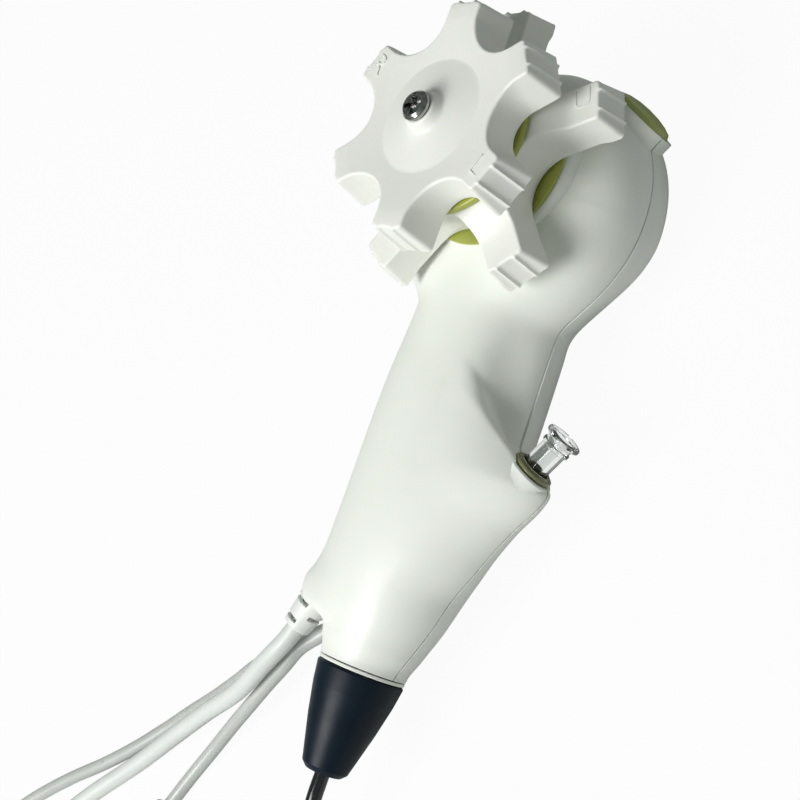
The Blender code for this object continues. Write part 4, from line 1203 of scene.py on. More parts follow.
@dataclass
class LobedWheel:
    """A control wheel: straight sided lobes with two ribs on each tip, one lobe repeated.

    Attributes:
        name: the piece's name.
        node: the CAD node that it stands for.
        body: the body that it rides on.
        tip: how far from the axis its lobes reach, over their ribs.
        lobes: how many it has.
        phase: where the first one points.
        top: the height of its face at the tips.
        under: the height of its underside.
        scallop: how near the axis the edge comes between two lobes.
        pad: half a lobe's width.
        skin: (radius, height) of its face, outwards.
        rings: how many of these are full circles.
        bottom: (radius, height) of its underside, inwards from the ring under the lobes.
        flare: how much wider a lobe is at its foot.
        foot: how far its tips reach under its underside.
        foot_start: where along a lobe the foot starts.
        foot_ramp: over what length it comes.
        rib: how far the ribs stand out.
        rib_width: half of a rib's width.
        rib_fade: how far inside the wall the ribs are gone.
        corner: the rounding of a lobe's upright edges.
        soft: the rounding of its upper edge.
        crisp: the rounding of its lower edge.
        follow: how far its rings' points follow the outline instead of an even spacing.
    """

    name: str
    node: str
    body: str
    tip: float
    lobes: int
    phase: float
    top: float
    under: float
    scallop: float
    pad: float
    skin: Profile
    rings: int
    bottom: Profile
    flare: float = 0.0011
    foot: float = 0.0
    foot_start: float = 1.0
    foot_ramp: float = 0.0009
    rib: float = 0.0006
    rib_width: float = 0.00042
    rib_fade: float = 0.0010
    corner: float = 0.0010
    soft: float = 0.0006
    crisp: float = 0.0004
    follow: float = 0.6

    def outline(self, grown: float, inset: float = 0.0) -> np.ndarray:
        """One lobe's outline about +X, from the middle of one scallop to that of the next.

        Args:
            grown: 0 at the top edge and 1 at the foot, where the lobe is wider by its flare.
            inset: how far inside the wall.

        Returns:
            the points.
        """
        half = math.pi / self.lobes
        flare = self.flare * grown
        pad = self.pad + flare - inset
        floor = self.scallop - flare / 2 - inset
        low = self.tip + flare - inset - self.rib
        bow = (floor * math.sin(half) - pad) / (1 - math.sin(half))
        corner = max(self.corner - inset, 0.0003)
        rib = max(self.rib * (1 - inset / self.rib_fade), 0.0)
        points = []
        for swing in np.linspace(0, math.pi / 2 - half, 26):
            u = floor + bow - bow * math.cos(swing)
            v = -bow * math.sin(swing)
            points.append((u * math.cos(half) - v * math.sin(half),
                           u * math.sin(half) + v * math.cos(half)))
        for x in np.linspace(points[-1][0], low - corner, 7)[1:]:
            points.append((x, pad))
        for bend in np.linspace(0, math.pi / 2, 8)[1:-1]:
            points.append((low - corner * (1 - math.sin(bend)),
                           pad - corner * (1 - math.cos(bend))))
        for v in np.linspace(pad - corner, 0, 30):
            ridge = rib / (1 + ((v - self.pad / 2) / self.rib_width) ** 2) ** 1.5
            points.append((low + ridge, v))
        side = np.array(points)
        return np.vstack([side, (side[:-1] * (1, -1))[::-1]])

    def _ring(self, radius: float, height: float, line: np.ndarray) -> np.ndarray:
        """A row of points on a circle, opposite the points of an outline.

        Args:
            radius: the circle's radius.
            height: its height.
            line: the outline.

        Returns:
            the points.
        """
        half = math.pi / self.lobes
        even = np.linspace(half, -half, len(line))
        turn = np.arctan2(line[:, 1], line[:, 0]) * self.follow + even * (1 - self.follow)
        return np.stack([radius * np.cos(turn), radius * np.sin(turn),
                         np.full(len(line), height)], axis=1)

    def _sole(self, x: np.ndarray) -> np.ndarray:
        """The height of the underside at places along a lobe."""
        return self.under - self.foot * eased(np.clip((x - self.foot_start) / self.foot_ramp, 0, 1))

    def _face(self) -> list[np.ndarray]:
        """The face, from the bore out and round its edge.

        Returns:
            the rows.
        """
        radii, heights = zip(*self.skin)
        edge = self.outline(0.0)
        rim = self.outline(0.0, self.soft)
        rows = [self._ring(r, z, edge) for r, z in self.skin[:self.rings]]
        inner = rows[-1][:, :2]
        for t in np.linspace(0, 1, 25)[1:]:
            flat = inner * (1 - t) + rim * t
            z = np.interp(np.linalg.norm(flat, axis=1), radii, heights)
            rows.append(np.concatenate([flat, z[:, None]], axis=1))
        level = rows[-1][:, 2:]
        for bend in np.linspace(0, math.pi / 2, 6)[1:]:
            flat = self.outline(0.0, self.soft * (1 - math.sin(bend)))
            rows.append(np.concatenate([flat, level - self.soft * (1 - math.cos(bend))], axis=1))
        return rows

    def _wall(self, start: np.ndarray) -> list[np.ndarray]:
        """The wall, down round its foot and back underneath to the bore.

        Args:
            start: the last row of the face.

        Returns:
            the rows.
        """
        rows = []
        depth = self.top - self.under + self.foot
        sole = self._sole(self.outline(1.0)[:, 0])[:, None] + self.crisp
        for t in np.linspace(0, 1, 9)[1:]:
            z = start[:, 2:] * (1 - t) + sole * t
            grown = float((self.top - z).mean() / depth)
            rows.append(np.concatenate([self.outline(grown), z], axis=1))
        for bend in np.linspace(0, math.pi / 2, 5)[1:]:
            flat = self.outline(1.0, self.crisp * (1 - math.cos(bend)))
            rows.append(np.concatenate([flat, sole - self.crisp * math.sin(bend)], axis=1))
        last = rows[-1][:, :2]
        ring = self._ring(*self.bottom[0], last)
        for t in np.linspace(0, 1, 21)[1:]:
            flat = last * (1 - t) + ring[:, :2] * t
            rows.append(np.concatenate([flat, self._sole(flat[:, 0])[:, None]], axis=1))
        rows += [self._ring(r, z, last) for r, z in self.bottom[1:]]
        return rows

    def sector(self) -> bpy.types.Mesh:
        """One lobe with its share of the hub, as an open band that its copies close.

        Returns:
            the mesh.
        """
        rows = self._face()
        rows += self._wall(rows[-1])
        rows.append(rows[0].copy())
        return grid_mesh(self.name, np.array(rows), closed=False)

    def build(self, lobes: Pattern) -> bpy.types.Object:
        """The whole wheel.

        Args:
            lobes: the tree that repeats a shape round Z.

        Returns:
            the piece.
        """
        step = (0.0, 0.0, math.tau / self.lobes)
        start = (0.0, 0.0, math.radians(self.phase))
        mesh = lobes.repeat(self.sector(), self.lobes, step, WHEEL_WHITE, start, 0.000004)
        return dressed(self.name, mesh, WHEEL_WHITE, self.body, self.node, sharp=35.0)


@dataclass(frozen=True)
class Letter:
    """A raised letter that says which way a wheel bends the tip.

    Attributes:
        text: the letter.
        reach: its distance from the axis.
        angle: where round the axis it stands.
        up: which way its top points.
        height: the height of the face under it.
        size: its size.
        rise: half of its thickness without its rounding.
        bevel: the rounding of its edges.
        thinner: how much its strokes are thinned on each side.
    """

    text: str
    reach: float
    angle: float
    up: float
    height: float
    size: float = 0.0064
    rise: float = 0.00010
    bevel: float = 0.00005
    thinner: float = 0.00014

    def mesh(self) -> bpy.types.Mesh:
        """The letter's mesh on the wheel's face.

        Returns:
            the mesh.
        """
        curve = bpy.data.curves.new(f"letter_{self.text}", "FONT")
        curve.body = self.text
        curve.size = self.size
        curve.extrude = self.rise
        curve.bevel_depth = self.bevel
        curve.bevel_resolution = 2
        curve.offset = -self.thinner
        curve.align_x = "CENTER"
        curve.align_y = "CENTER"
        mesh = tidied(baked(loose(curve.name, curve)))
        place = facing(self.angle) * self.reach + Vector((0, 0, self.height))
        turn = Matrix.Rotation(math.radians(self.up - 90.0), 4, "Z")
        mesh.transform(Matrix.Translation(place) @ turn)
        return mesh


@dataclass
class Controls:
    """The two wheels with their letters, the olive rings of painted shadow under them and the screw
    that holds them.

    Attributes:
        rl_top: the height of the outer wheel's face.
        rl_under: the height of its underside.
        ud_top: the height of the inner wheel's face at its tips.
        ud_crown: how far its middle stands over that.
        ud_under: the height of its underside.
        ud_web: how thick it is inside its rim, under that face.
        hub_top: the height of the outer wheel's hub.
        sleeve: the radius of the inner wheel's sleeve.
        boss_top: the height of the housing's boss.
        crease: the radius at which the outer wheel's dished face ends.
        crease_drop: how far the face is sunk there.
        slot_turn: how far the screw's recess is turned, in radians.
    """

    rl_top: float = KNOB_Z
    rl_under: float = KNOB_Z - 0.0100
    ud_top: float = KNOB_Z - 0.0157
    ud_crown: float = 0.0035
    ud_under: float = KNOB_Z - 0.0231
    ud_web: float = 0.0045
    hub_top: float = KNOB_Z + 0.0024
    sleeve: float = 0.0046
    boss_top: float = SEAM_Z + 0.0177
    crease: float = 0.0130
    crease_drop: float = 0.0013
    slot_turn: float = 0.35

    def build(self, lobes: Pattern) -> None:
        """Makes the wheels, the letters, the olive rings of painted shadow and the screw.

        Args:
            lobes: the tree that repeats a shape round Z.
        """
        self.rl_wheel(lobes)
        self.ud_wheel(lobes)
        self.letters()
        self.painted_shadow_rings()
        self.screw()

    def rl_wheel(self, lobes: Pattern) -> None:
        """The outer wheel, with its dished face and its hub.

        Args:
            lobes: the tree that repeats a shape round Z.
        """
        low = self.rl_top - self.crease_drop
        foot = self.rl_top + 0.0004
        hub = self.hub_top
        edge = hub - 0.0004
        skin: Profile = [(0.0029, hub - 0.0002), (0.0031, hub), (0.0035, hub),
                         (0.0037, hub - 0.0001), (0.0039, edge)]
        for t in np.linspace(0, 1, 6)[1:]:
            skin.append((0.0039 + 0.0010 * t, edge - (edge - foot) * t**0.8))
        for t in np.linspace(0, 1, 14)[1:]:
            r = 0.0049 + (self.crease - 0.0049) * t
            skin.append((r, low + (foot - low) * (0.80 * (1 - t) + 0.20 * (1 - t) ** 4)))
        skin.append((self.crease + 0.00025, low + 0.00003))
        rings = len(skin)
        skin += [(0.0220, self.rl_top - 0.0001), (0.0240, self.rl_top), (0.0400, self.rl_top)]
        under = self.rl_under
        bottom: Profile = [(0.0147, under), (0.0137, under + 0.0028), (0.0058, under + 0.0028),
                           (0.0056, under + 0.0002), (0.0029, under + 0.0002)]
        LobedWheel("rl_handwheel", "rl_wheel", "rl_control", tip=0.0263, lobes=6, phase=32.4,
                   top=self.rl_top, under=under, scallop=0.0177, pad=0.0044, skin=skin,
                   rings=rings, bottom=bottom).build(lobes)

    def ud_wheel(self, lobes: Pattern) -> None:
        """The inner wheel: a raised middle, and a foot under each tip.

        Args:
            lobes: the tree that repeats a shape round Z.
        """
        bore = self.sleeve + GAP
        top = self.ud_top
        crown = top + self.ud_crown
        web = top - self.ud_web
        skin: Profile = [(bore, crown - 0.0002), (bore + 0.0002, crown), (0.0080, crown),
                         (0.0120, crown)]
        rings = len(skin)
        for t in np.linspace(0, 1, 12):
            skin.append((0.0176 + 0.0084 * t, top + self.ud_crown * (1 - eased(t))))
        skin.append((0.0400, top))
        bottom: Profile = [(0.0131, self.ud_under), (0.0123, web), (bore, web)]
        LobedWheel("ud_handwheel", "ud_wheel", "ud_control", tip=0.0328, lobes=5, phase=23.4,
                   top=top, under=self.ud_under, scallop=0.0166, pad=0.0046, skin=skin,
                   rings=rings, bottom=bottom, foot=0.0007, foot_start=0.0294).build(lobes)

    def letters(self) -> None:
        """The letters on the wheels' faces: left and right, up and down."""
        outer = [Letter("R", 0.0228, 152.4, 62.4, self.rl_top),
                 Letter("L", 0.0226, 332.4, 62.4, self.rl_top)]
        inner = [Letter("U", 0.0283, 25.6, 113.4, self.ud_top, 0.0068),
                 Letter("D", 0.0283, 167.4, 257.4, self.ud_top, 0.0060)]
        for name, letters, body in (("rl_letters", outer, "rl_control"),
                                    ("ud_letters", inner, "ud_control")):
            mesh = joined(name, [letter.mesh() for letter in letters])
            dressed(name, mesh, WHEEL_WHITE, body)

    def painted_shadow_rings(self) -> None:
        """Two olive rings under the wheels, which are painted shadow: their colour stands for the
        shade that each wheel casts on the face below it.
        """
        rings = (
            ("rl_painted_shadow_ring", "rl_seal", "ud_control", 0.0180, self.sleeve + GAP,
             self.rl_under - 0.0004, self.ud_top + self.ud_crown + GAP),
            ("ud_painted_shadow_ring", "ud_seal", "handle", 0.0193, 0.0103,
             self.ud_under - 0.0004, self.boss_top + GAP),
        )
        for name, node, body, outer, inner, top, low in rings:
            soft = min(0.0008, (top - low) * 0.45)
            corners = [(inner, top, 0), (outer, top, soft), (outer, low, soft * 0.6),
                       (inner, low, 0)]
            dressed(name, turned(name, corners, True, steps=160), PAINTED_SHADOW_RING_OLIVE, body, node)

    def screw(self) -> None:
        """The cross recessed screw in the outer wheel's hub."""
        low = self.hub_top + GAP
        top = low + 0.0016
        end = self.hub_top - 0.008
        corners = [(0, top, 0), (0.0027, top, 0.0004), (0.0034, top - 0.0008, 0.0003),
                   (0.0034, low, 0.0002), (0.0014, low, 0), (0.0014, end, 0), (0, end, 0)]
        wide: Point = (0.0046, 0.0010, 0.0026)
        fine: Point = (0.0034, 0.00045, 0.0012)
        recess = [
            box_mesh(size, (0, 0, top), Matrix.Rotation(self.slot_turn + turn, 4, "Z"))
            for size, turn in ((wide, 0.0), (wide, math.pi / 2),
                               (fine, math.pi / 4), (fine, -math.pi / 4))
        ]
        pit: Profile = [(0, top + 0.0004), (0.0013, top + 0.0004), (0.0010, top - 0.0004),
                        (0, top - 0.0013)]
        recess.append(revolved("pit", pit, steps=24))
        mesh = cut(turned("screw", corners, steps=72), [("DIFFERENCE", tool) for tool in recess])
        # The darker patches of the screw's chrome are painted reflection.
        dressed("cross_screw", mesh, SCREW_CHROME_PAINTED_REFLECTIONS, "rl_control", "hub_screw", sharp=30.0)


@dataclass
class Housing:
    """The two shells of the handle, lofted through the sections that a hand grips.

    Attributes:
        wall: how thick the shells are.
        head_radius: the radius of the round head, seen from the wheels' side.
        head_x: its middle across the handle.
        head_y: its middle along the handle.
        head_front: how far it stands out in front of the seam.
        head_back: how far it stands out behind the seam.
        head_shape: the power of its curve towards its end.
        back_softer: how much less that is behind the seam, on the grip's side of its middle.
        bump_front: how far in front of the seam the port's shoulder and the outlet reach.
        bump_back: how far behind it they reach.
        bump_front_power: how they fall off in front.
        bump_back_power: how they fall off behind.
        boss_radius: the radius of the flat boss under the wheels.
        boss_rise: how far the boss stands over the head.
        around: points across a shell's outer surface.
        around_inside: points across its inner surface.
        head_rows: rows on the head.
        grip_rows: rows on the grip.
        slab: the block that trims the collars at the seam.
        slab_y: its middle along the handle.
        rim_clear: how far the collars end short of a shell's lip.
        lip_depth: how far past its lip a shell's full section starts.
        lip_out: how far its lip stands out.
        shoulder_lean: how far the shoulder leans towards the head for its height.
        lean_start: the height over the seam from which it leans.
        scoop_angle: where round the section the thumb's hollow lies.
        scoop_width: how wide the hollow is, in degrees.
        scoop_down: how much of the hollow's depth also goes down.
        neck_angle: where round the section the neck is slimmer.
        neck_width: how wide that is, in degrees.
        powers: how square the section is, in front and behind.
        blend_powers: how sharply the head gives way to the grip on each side.
        grip: the grip's reach.
        shoulder: how far the shoulder by the port stands out.
        outlet: how far the swelling at the lines' outlet stands out.
        scoop: how deep the thumb's hollow is.
        neck: how much slimmer the neck is.
    """

    wall: float = 0.0022
    head_radius: float = 0.0315
    head_x: float = -0.001
    head_y: float = -0.004
    head_front: float = 0.0175
    head_back: float = 0.0180
    head_shape: float = 3.2
    back_softer: float = 0.7
    bump_front: float = 0.0162
    bump_back: float = 0.0100
    bump_front_power: float = 1.15
    bump_back_power: float = 1.5
    boss_radius: float = 0.0202
    boss_rise: float = 0.0002
    around: int = 120
    around_inside: int = 48
    head_rows: int = 36
    grip_rows: int = 170
    slab: Point = (0.2, 0.4, 0.1)
    slab_y: float = -0.05
    rim_clear: float = 0.00003
    lip_depth: float = 0.00018
    lip_out: float = 0.00012
    shoulder_lean: float = 1.25
    lean_start: float = 0.0040
    scoop_angle: float = 26.0
    scoop_width: float = 20.0
    scoop_down: float = 0.6
    neck_angle: float = -38.0
    neck_width: float = 30.0
    # For the front and the back: the section's power at the grip, what the head adds to it, how
    # far below the head's middle that starts, and over what length it comes.
    powers: Table = ((2.05, 0.75, 0.030, 0.022), (1.98, 0.70, 0.018, 0.020))
    # How sharply the head's reach gives way to the grip's, to each of the four sides.
    blend_powers: tuple[float, ...] = (9, 9, 40, 40)
    # The rest are tables down the handle: the place, and then what the form reaches there. The
    # grip's rows give the reach to the right, the left, the front and the back.
    grip: Table = (
        (-0.018, 0.0185, 0.0170, 0.0171, 0.0160),
        (-0.035, 0.0190, 0.0173, 0.0177, 0.0160),
        (-0.052, 0.0200, 0.0184, 0.0177, 0.0160),
        (-0.068, 0.0206, 0.0184, 0.0171, 0.0158),
        (-0.084, 0.0190, 0.0176, 0.0158, 0.0144),
        (-0.098, 0.0155, 0.0150, 0.0136, 0.0128),
        (-0.107, 0.0120, 0.0118, 0.0113, 0.0111),
        (TAIL_Y, TAIL_RADIUS, TAIL_RADIUS, TAIL_RADIUS, TAIL_RADIUS),
    )
    shoulder: Table = (
        (-0.0562, 0.0), (-0.0600, 0.0050), (-0.0646, 0.0112), (-0.0668, 0.0105),
        (-0.0747, 0.0058), (-0.0841, 0.0022), (-0.0940, 0.0),
    )
    outlet: Table = (
        (-0.0700, 0.0), (-0.0860, 0.0022), (-0.0910, 0.0038), (-0.0950, 0.0064),
        (-0.0985, 0.0094), (-0.1015, 0.0104), (-0.1032, 0.0098), (-0.1062, 0.0),
    )
    scoop: Table = (
        (-0.0260, 0.0), (-0.0430, 0.0018), (-0.0520, 0.0021), (-0.0580, 0.0012), (-0.0660, 0.0),
    )
    neck: Table = (
        (-0.0020, 0.0), (-0.0110, 0.0002), (-0.0200, 0.0009), (-0.0260, 0.0014),
        (-0.0340, 0.0002), (-0.0420, 0.0),
    )

    @staticmethod
    def between(table: Sequence[Sequence[float]], at: float, column: int) -> float:
        """A smooth value between the rows of a table.

        Args:
            table: rows whose first value falls along the handle.
            at: the place along the handle.
            column: which value of the rows.

        Returns:
            the value there.
        """
        where = [row[0] for row in table]
        values = [row[column] for row in table]
        if at >= where[0]:
            return values[0]
        if at <= where[-1]:
            return values[-1]
        slopes = [0.0] * len(where)
        for i in range(1, len(where) - 1):
            before = (values[i] - values[i - 1]) / (where[i] - where[i - 1])
            after = (values[i + 1] - values[i]) / (where[i + 1] - where[i])
            if before * after > 0:
                slopes[i] = 2 * before * after / (before + after)
        i = next(k for k in range(len(where) - 1) if at >= where[k + 1])
        span = where[i + 1] - where[i]
        t = (at - where[i]) / span
        return ((1 + 2 * t) * (1 - t) ** 2 * values[i] + t * (1 - t) ** 2 * span * slopes[i]
                + t * t * (3 - 2 * t) * values[i + 1] + t * t * (t - 1) * span * slopes[i + 1])

    def _reach(self, at: float) -> list[float]:
        """How far the section reaches, the head and the grip blended into each other.

        Args:
            at: the place along the handle.

        Returns:
            the reach to the right, the left, the front and the back.
        """
        off = at - self.head_y
        head = max(self.head_radius**2 - off**2, 0.0) ** 0.5
        back_shape = self.head_shape - (0.0 if off > 0 else self.back_softer)
        rise, depth = (
            max(1 - (abs(off) / self.head_radius) ** shape, 0.0) ** (1 / shape)
            for shape in (self.head_shape, back_shape)
        )
        sizes = [head + self.head_x, head - self.head_x,
                 self.head_front * rise, self.head_back * depth]
        if at < self.head_y:
            for column, sharp in enumerate(self.blend_powers):
                other = self.between(self.grip, at, column + 1)
                sizes[column] = (max(sizes[column], 0.0) ** sharp + other**sharp) ** (1 / sharp)
        return sizes

    @staticmethod
    def _near(angles: np.ndarray, middle: float, width: float) -> np.ndarray:
        """A share that is 1 at an angle in degrees and falls softly to its sides."""
        return np.exp(-(((np.degrees(angles) - middle) / width) ** 2))

    def section(self, at: float, inset: float, angles: np.ndarray) -> np.ndarray:
        """Points of the housing's outline across the handle.

        Args:
            at: the place along the handle.
            inset: how far inside the surface.
            angles: the angles of the points about the seam's middle.

        Returns:
            the points.
        """
        off = at - self.head_y
        right, left, front, back = self._reach(at)
        front_power, back_power = (
            plain + more * eased(min(max((off + start) / span, 0.0), 1.0))
            for plain, more, start, span in self.powers
        )
        neck = self.between(self.neck, at, 1)
        outlet = self.between(self.outlet, at, 1) if inset == 0 else 0.0
        scoop = self.between(self.scoop, at, 1)
        across = np.cos(angles)
        up = np.sin(angles)
        power = np.where(up > 0, front_power, back_power)
        wide = np.maximum(np.where(across > 0, right, left) - inset, 0.00002)
        tall = np.maximum(np.where(up > 0, front, back) - inset, 0.00002)
        x = wide * np.sign(across) * np.abs(across) ** (2 / power)
        z = tall * np.sign(up) * np.abs(up) ** (2 / power)
        bump = np.where(z > 0, self.bump_front, self.bump_back)
        bump_power = np.where(z > 0, self.bump_front_power, self.bump_back_power)
        swell = np.maximum(1 - (z / bump) ** 2, 0.0) ** bump_power
        leaning = at - self.shoulder_lean * np.maximum(z - self.lean_start, 0.0)
        leaning = np.maximum(leaning, min(at, self.shoulder[2][0]))
        shoulder = np.array([self.between(self.shoulder, place, 1) for place in leaning])
        shoulder = shoulder * (inset == 0)
        dip = np.where((up > 0) & (across > 0),
                       self._near(angles, self.scoop_angle, self.scoop_width), 0.0)
        pinch = self._near(angles, self.neck_angle, self.neck_width)
        x = x + np.where(across > 0, shoulder * swell - scoop * dip - neck * pinch,
                         -outlet * swell)
        z = z - self.scoop_down * scoop * dip
        return np.stack([x, np.full(len(x), at), SEAM_Z + z], axis=1)

    def stations(self) -> list[tuple[float, float]]:
        """Places along the handle of the section's rows.

        Returns:
            the place of each row on the outer and on the inner surface.
        """
        made = []
        inner_radius = self.head_radius - self.wall
        for degrees in [0.4, 1.2, 2.2, 3.5, 5.0, *np.linspace(7, 90, self.head_rows)]:
            turn = math.cos(math.radians(degrees))
            made.append((self.head_y + self.head_radius * turn,
                         self.head_y + inner_radius * turn))
        for at in np.linspace(self.head_y - 0.0008, TAIL_Y, self.grip_rows):
            made.append((at, at))
        return made

    def _half_ring(self, at: float, inset: float, count: int, sign: float) -> np.ndarray:
        """One surface's row across a half, with a point on the seam's lip at each end.

        Args:
            at: the place along the handle.
            inset: how far inside the outer surface.
            count: how many points it has between the ends.
            sign: 1 for the half with the wheels, and -1 for the other.

        Returns:
            the points.
        """
        probe = self.section(at, inset, np.array([math.pi / 2 * sign]))[0, 2] - SEAM_Z
        tall = max(abs(probe), 0.00004)
        share = min((GAP / 2 + self.lip_depth) / tall, 0.5)
        first = math.asin(share ** 1.1)
        points = self.section(at, inset, np.linspace(first, math.pi - first, count) * sign)
        ends = points[[0, -1]]
        ends[:, 0] += np.array([-1, 1]) * min(self.lip_out, tall * 0.1) * (inset == 0)
        ends[:, 2] = min(GAP / 2, tall * 0.3) * sign + SEAM_Z
        return np.vstack([ends[0], points, ends[1]])

    def shell(self, name: str, front: bool) -> bpy.types.Mesh:
        """One hollow half, from its seam's lip to its wall's inner side.

        Args:
            name: the mesh's name.
            front: whether it is the half with the wheels.

        Returns:
            the closed mesh.
        """
        sign = 1.0 if front else -1.0
        rows = [
            np.vstack([self._half_ring(outer, 0.0, self.around, sign),
                       self._half_ring(inner, self.wall, self.around_inside, sign)[::-1]])
            for outer, inner in self.stations()
        ]
        return tidied(grid_mesh(name, np.array(rows), caps=True))

    @staticmethod
    def _hole(radius: float, origin: Point, way: Sequence[float], low: float,
              high: float) -> bpy.types.Mesh:
        """A round cutter along a direction."""
        shape: Profile = [(0, high), (radius, high), (radius, low), (0, low)]
        return revolved("hole", shape, along(way, origin), 72)

    def cutters(self) -> list[bpy.types.Mesh]:
        """The holes for the bush, the button, the port, the relief and the two lines.

        Returns:
            the meshes to cut away.
        """
        stepped = [
            revolved(name, [(0, top), (wide, top), (wide, 0.0), (bore, 0.0), (bore, deep),
                            (0, deep)], along(facing(angle), seat), steps)
            for name, angle, seat, wide, bore, top, deep, steps in (
                ("port_hole", PORT_ANGLE, PORT_SEAT, 0.0052, 0.0042, 0.006, -0.021, 76),
                ("relief_hole", RELIEF_ANGLE, RELIEF_SEAT, 0.0045, 0.0035, 0.012, -0.020, 64),
            )
        ]
        return [
            self._hole(0.0071, (0, 0, 0), (0, 0, 1), 0.025, 0.050),
            self._hole(0.0077, BUTTON_FACE, facing(BUTTON_ANGLE), -0.014, 0.006),
            *stepped,
            *(self._hole(0.00205, at, way, -0.012, 0.008) for at, way in LINE_EXITS.values()),
        ]

    def build(self) -> None:
        """Both shells, with the boss under the wheels and the button's and the port's collars."""
        face = SEAM_Z + self.head_front
        top = face + self.boss_rise
        corners = [
            (0, top, 0), (self.boss_radius - 0.0012, top, 0.0006),
            (self.boss_radius, top - 0.0006, 0.0012), (self.boss_radius + 0.0010, face - 0.004, 0),
            (0, face - 0.004, 0),
        ]
        boss = turned("boss", corners, steps=160)
        collar = self._hole(0.0088, BUTTON_FACE, facing(BUTTON_ANGLE), -0.008, -0.0007)
        seat_shape: Profile = [(0, 0.0), (0.0054, 0.0), (0.0057, -0.0003), (0.0058, -0.0028),
                               (0, -0.0028)]
        seat = revolved("port_collar", seat_shape, along(facing(PORT_ANGLE), PORT_SEAT), 88)
        for name, node, front, finish in (
            ("front_housing", "front_shell", True, HOUSING_WHITE),
            ("back_housing", "back_shell", False, HOUSING_BACK),
        ):
            mesh = self.shell(name, front)
            reach = (self.slab[2] / 2 - GAP / 2 - self.rim_clear) * (-1 if front else 1)
            slab = box_mesh(self.slab, (0, self.slab_y, SEAM_Z + reach))
            rims = [cut(tool.copy(), [("DIFFERENCE", slab.copy())]) for tool in (collar, seat)]
            steps = [("UNION", rim) for rim in rims]
            if front:
                steps.append(("UNION", boss))
            steps += [("DIFFERENCE", tool) for tool in self.cutters()]
            dressed(name, cut(mesh, steps), finish, "handle", node, sharp=32.0)


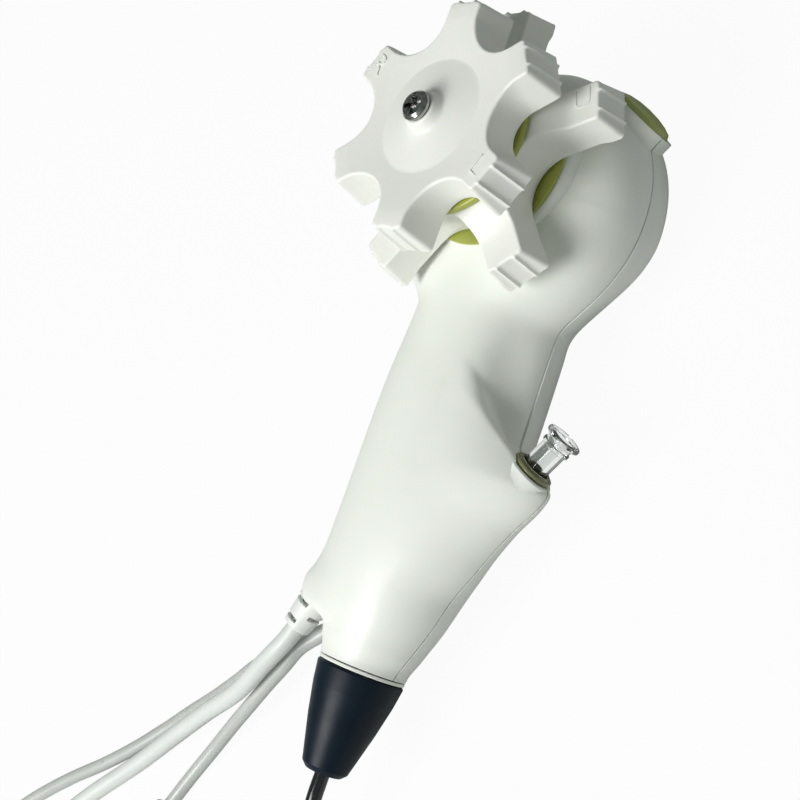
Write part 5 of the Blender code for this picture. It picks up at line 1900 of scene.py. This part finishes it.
@dataclass
class Trim:
    """The port, the button, the boot and the strain relief."""

    boot_gap: float = 0.0013
    spigot: float = TAIL_RADIUS - 0.0022 - GAP - 0.0001
    rim_height: float = 0.0007
    slot_size: Point = (0.012, 0.006, 0.0012)
    slot_side: float = 0.0039
    slot_first: float = 0.0015
    slot_step: float = 0.0024

    def build(self) -> None:
        """Makes each piece."""
        self.port()
        self.button()
        self.boot()
        self.relief()

    def port(self) -> None:
        """The clear port with its flange, and the olive ring round it."""
        place = along(facing(PORT_ANGLE), PORT_SEAT)
        barrel = [
            (0.0042, 0.0102, 0.0003), (0.0042, 0.0094, 0.0003), (0.0031, 0.0089, 0.0004),
            (0.0031, 0.0080, 0.0002), (0.0034, 0.0078, 0.0001), (0.0034, 0.0072, 0.0001),
            (0.0030, 0.0069, 0.0002), (0.0030, 0.0, 0), (0.0030, -0.0080, 0),
            (0.0016, -0.0080, 0), (0.0016, 0.0070, 0.0003), (0.0025, 0.0102, 0.0003),
        ]
        ring = [
            (0.0048, 0.0011, 0.0005), (0.0049, GAP, 0.0002), (0.0039, GAP, 0),
            (0.0039, -0.0040, 0), (0.0033, -0.0040, 0), (0.0033, 0.0015, 0.0003),
            (0.0039, 0.0015, 0.0002), (0.0040, 0.0010, 0.0001),
        ]
        dressed("clear_port", turned("clear_port", barrel, True, place), PORT_CLEAR, "handle",
                "port_barrel")
        dressed("port_gasket", turned("port_gasket", ring, True, place), RING_OLIVE, "handle",
                "port_ring")

    def button(self) -> None:
        """The push button, slightly domed; its olive colour is painted shade, standing for the
        shade on the top of the head where it sits.
        """
        corners = [
            (0, 0.0016, 0), (0.0030, 0.0014, 0.0008), (0.0052, 0.0010, 0.0008),
            (0.0069, 0.0004, 0.0006), (0.0074, -0.0006, 0.0004), (0.0074, -0.0062, 0.0003),
            (0, -0.0062, 0),
        ]
        place = along(facing(BUTTON_ANGLE), BUTTON_FACE)
        dressed("push_button_cap", turned("push_button_cap", corners, place=place), PAINTED_SHADE_BUTTON_OLIVE,
                "push_button", "head_button")

    def boot(self) -> None:
        """The black boot and the pale ring at its rim."""
        place = along((0, -1, 0), (0, TAIL_Y - self.boot_gap, SEAM_Z))
        skirt = [
            (self.spigot, -0.0016, 0), (self.spigot, 0.0, 0), (0.0097, 0.0, 0.0002),
            (0.0100, 0.0004, 0.0002), (0.0093, 0.0050, 0.004), (0.0078, 0.0120, 0.006),
            (0.0057, 0.0202, 0.001), (0.0053, 0.0218, 0.0008), (0.0041, 0.0230, 0.0006),
            (0.00205, 0.0230, 0.0002), (0.00205, -0.0016, 0),
        ]
        inner, low = self.spigot + GAP, -GAP - self.rim_height
        rim = [(0.0099, -GAP, 0.0001), (0.0099, low, 0.0001), (inner, low, 0), (inner, -GAP, 0)]
        dressed("rubber_boot", turned("rubber_boot", skirt, True, place, arc=6), BOOT_BLACK,
                "handle", "boot")
        dressed("boot_rim", turned("boot_rim", rim, True, place, arc=3), HOUSING_WHITE,
                "handle", "boot_ring")

    def relief(self) -> None:
        """The white strain relief with its staggered slots."""
        corners = [
            (0.00336, 0.0082, 0.0004), (0.0040, 0.0020, 0.0010), (0.0042, GAP, 0.0001),
            (0.0031, GAP, 0), (0.0031, -0.0060, 0), (0.0026, -0.0060, 0), (0.0026, 0.0082, 0.0002),
        ]
        turn = Matrix.Rotation(-math.pi / 4, 4, "Z")
        slots = [
            box_mesh(self.slot_size, (0, side * self.slot_side,
                                      self.slot_first + self.slot_step * k), turn)
            for k, side in enumerate((1, -1, 1))
        ]
        mesh = cut(turned("relief", corners, True, steps=72),
                   [("DIFFERENCE", slot) for slot in slots])
        mesh.transform(along(facing(RELIEF_ANGLE), RELIEF_SEAT))
        dressed("strain_relief", mesh, PLUG_WHITE, "handle", "cable_relief", sharp=30.0)


@dataclass
class Works:
    """What keeps its solid with a better finish: the inner works, the bending section, fittings."""

    finishes: tuple[tuple[Finish, tuple[str, ...]], ...] = (
        (STEEL_TURNED, ("rl_shaft", "ud_sleeve", "bearing_bush")),
        (STEEL_BRUSHED, ("chassis_plate", "bending_collar", "rl_wire_left", "rl_wire_right",
                         "ud_wire_left", "ud_wire_right",
                         *(f"bending_link_{k}" for k in range(1, 8)))),
        (DRUM_BRASS, ("rl_drum", "ud_drum")),
        (BOARD_GREEN, ("camera_board",)),
        (FITTING_WHITE, ("flushing_fitting", "suction_fitting", "channel_connector",
                         "wire_guide", "channel_tube")),
        (TIP_BLACK, ("distal_tip",)),
        (LENS_GLASS, ("lens", "lamp_left", "lamp_right")),
    )

    def build(self) -> None:
        """Gives each node its finish."""
        for finish, nodes in self.finishes:
            for node in nodes:
                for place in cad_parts[node].material_slots:
                    place.material = finish.material()


def main() -> None:
    """Builds the studio and every sub-assembly in order."""
    logging.basicConfig(level=logging.INFO, format="%(name)s: %(message)s")
    Studio().build()
    Lines().build(Pattern("repeat_along_line", False))
    Controls().build(Pattern("repeat_round_z", True))
    Housing().build()
    Trim().build()
    Works().build()


if __name__ == "__main__":
    main()
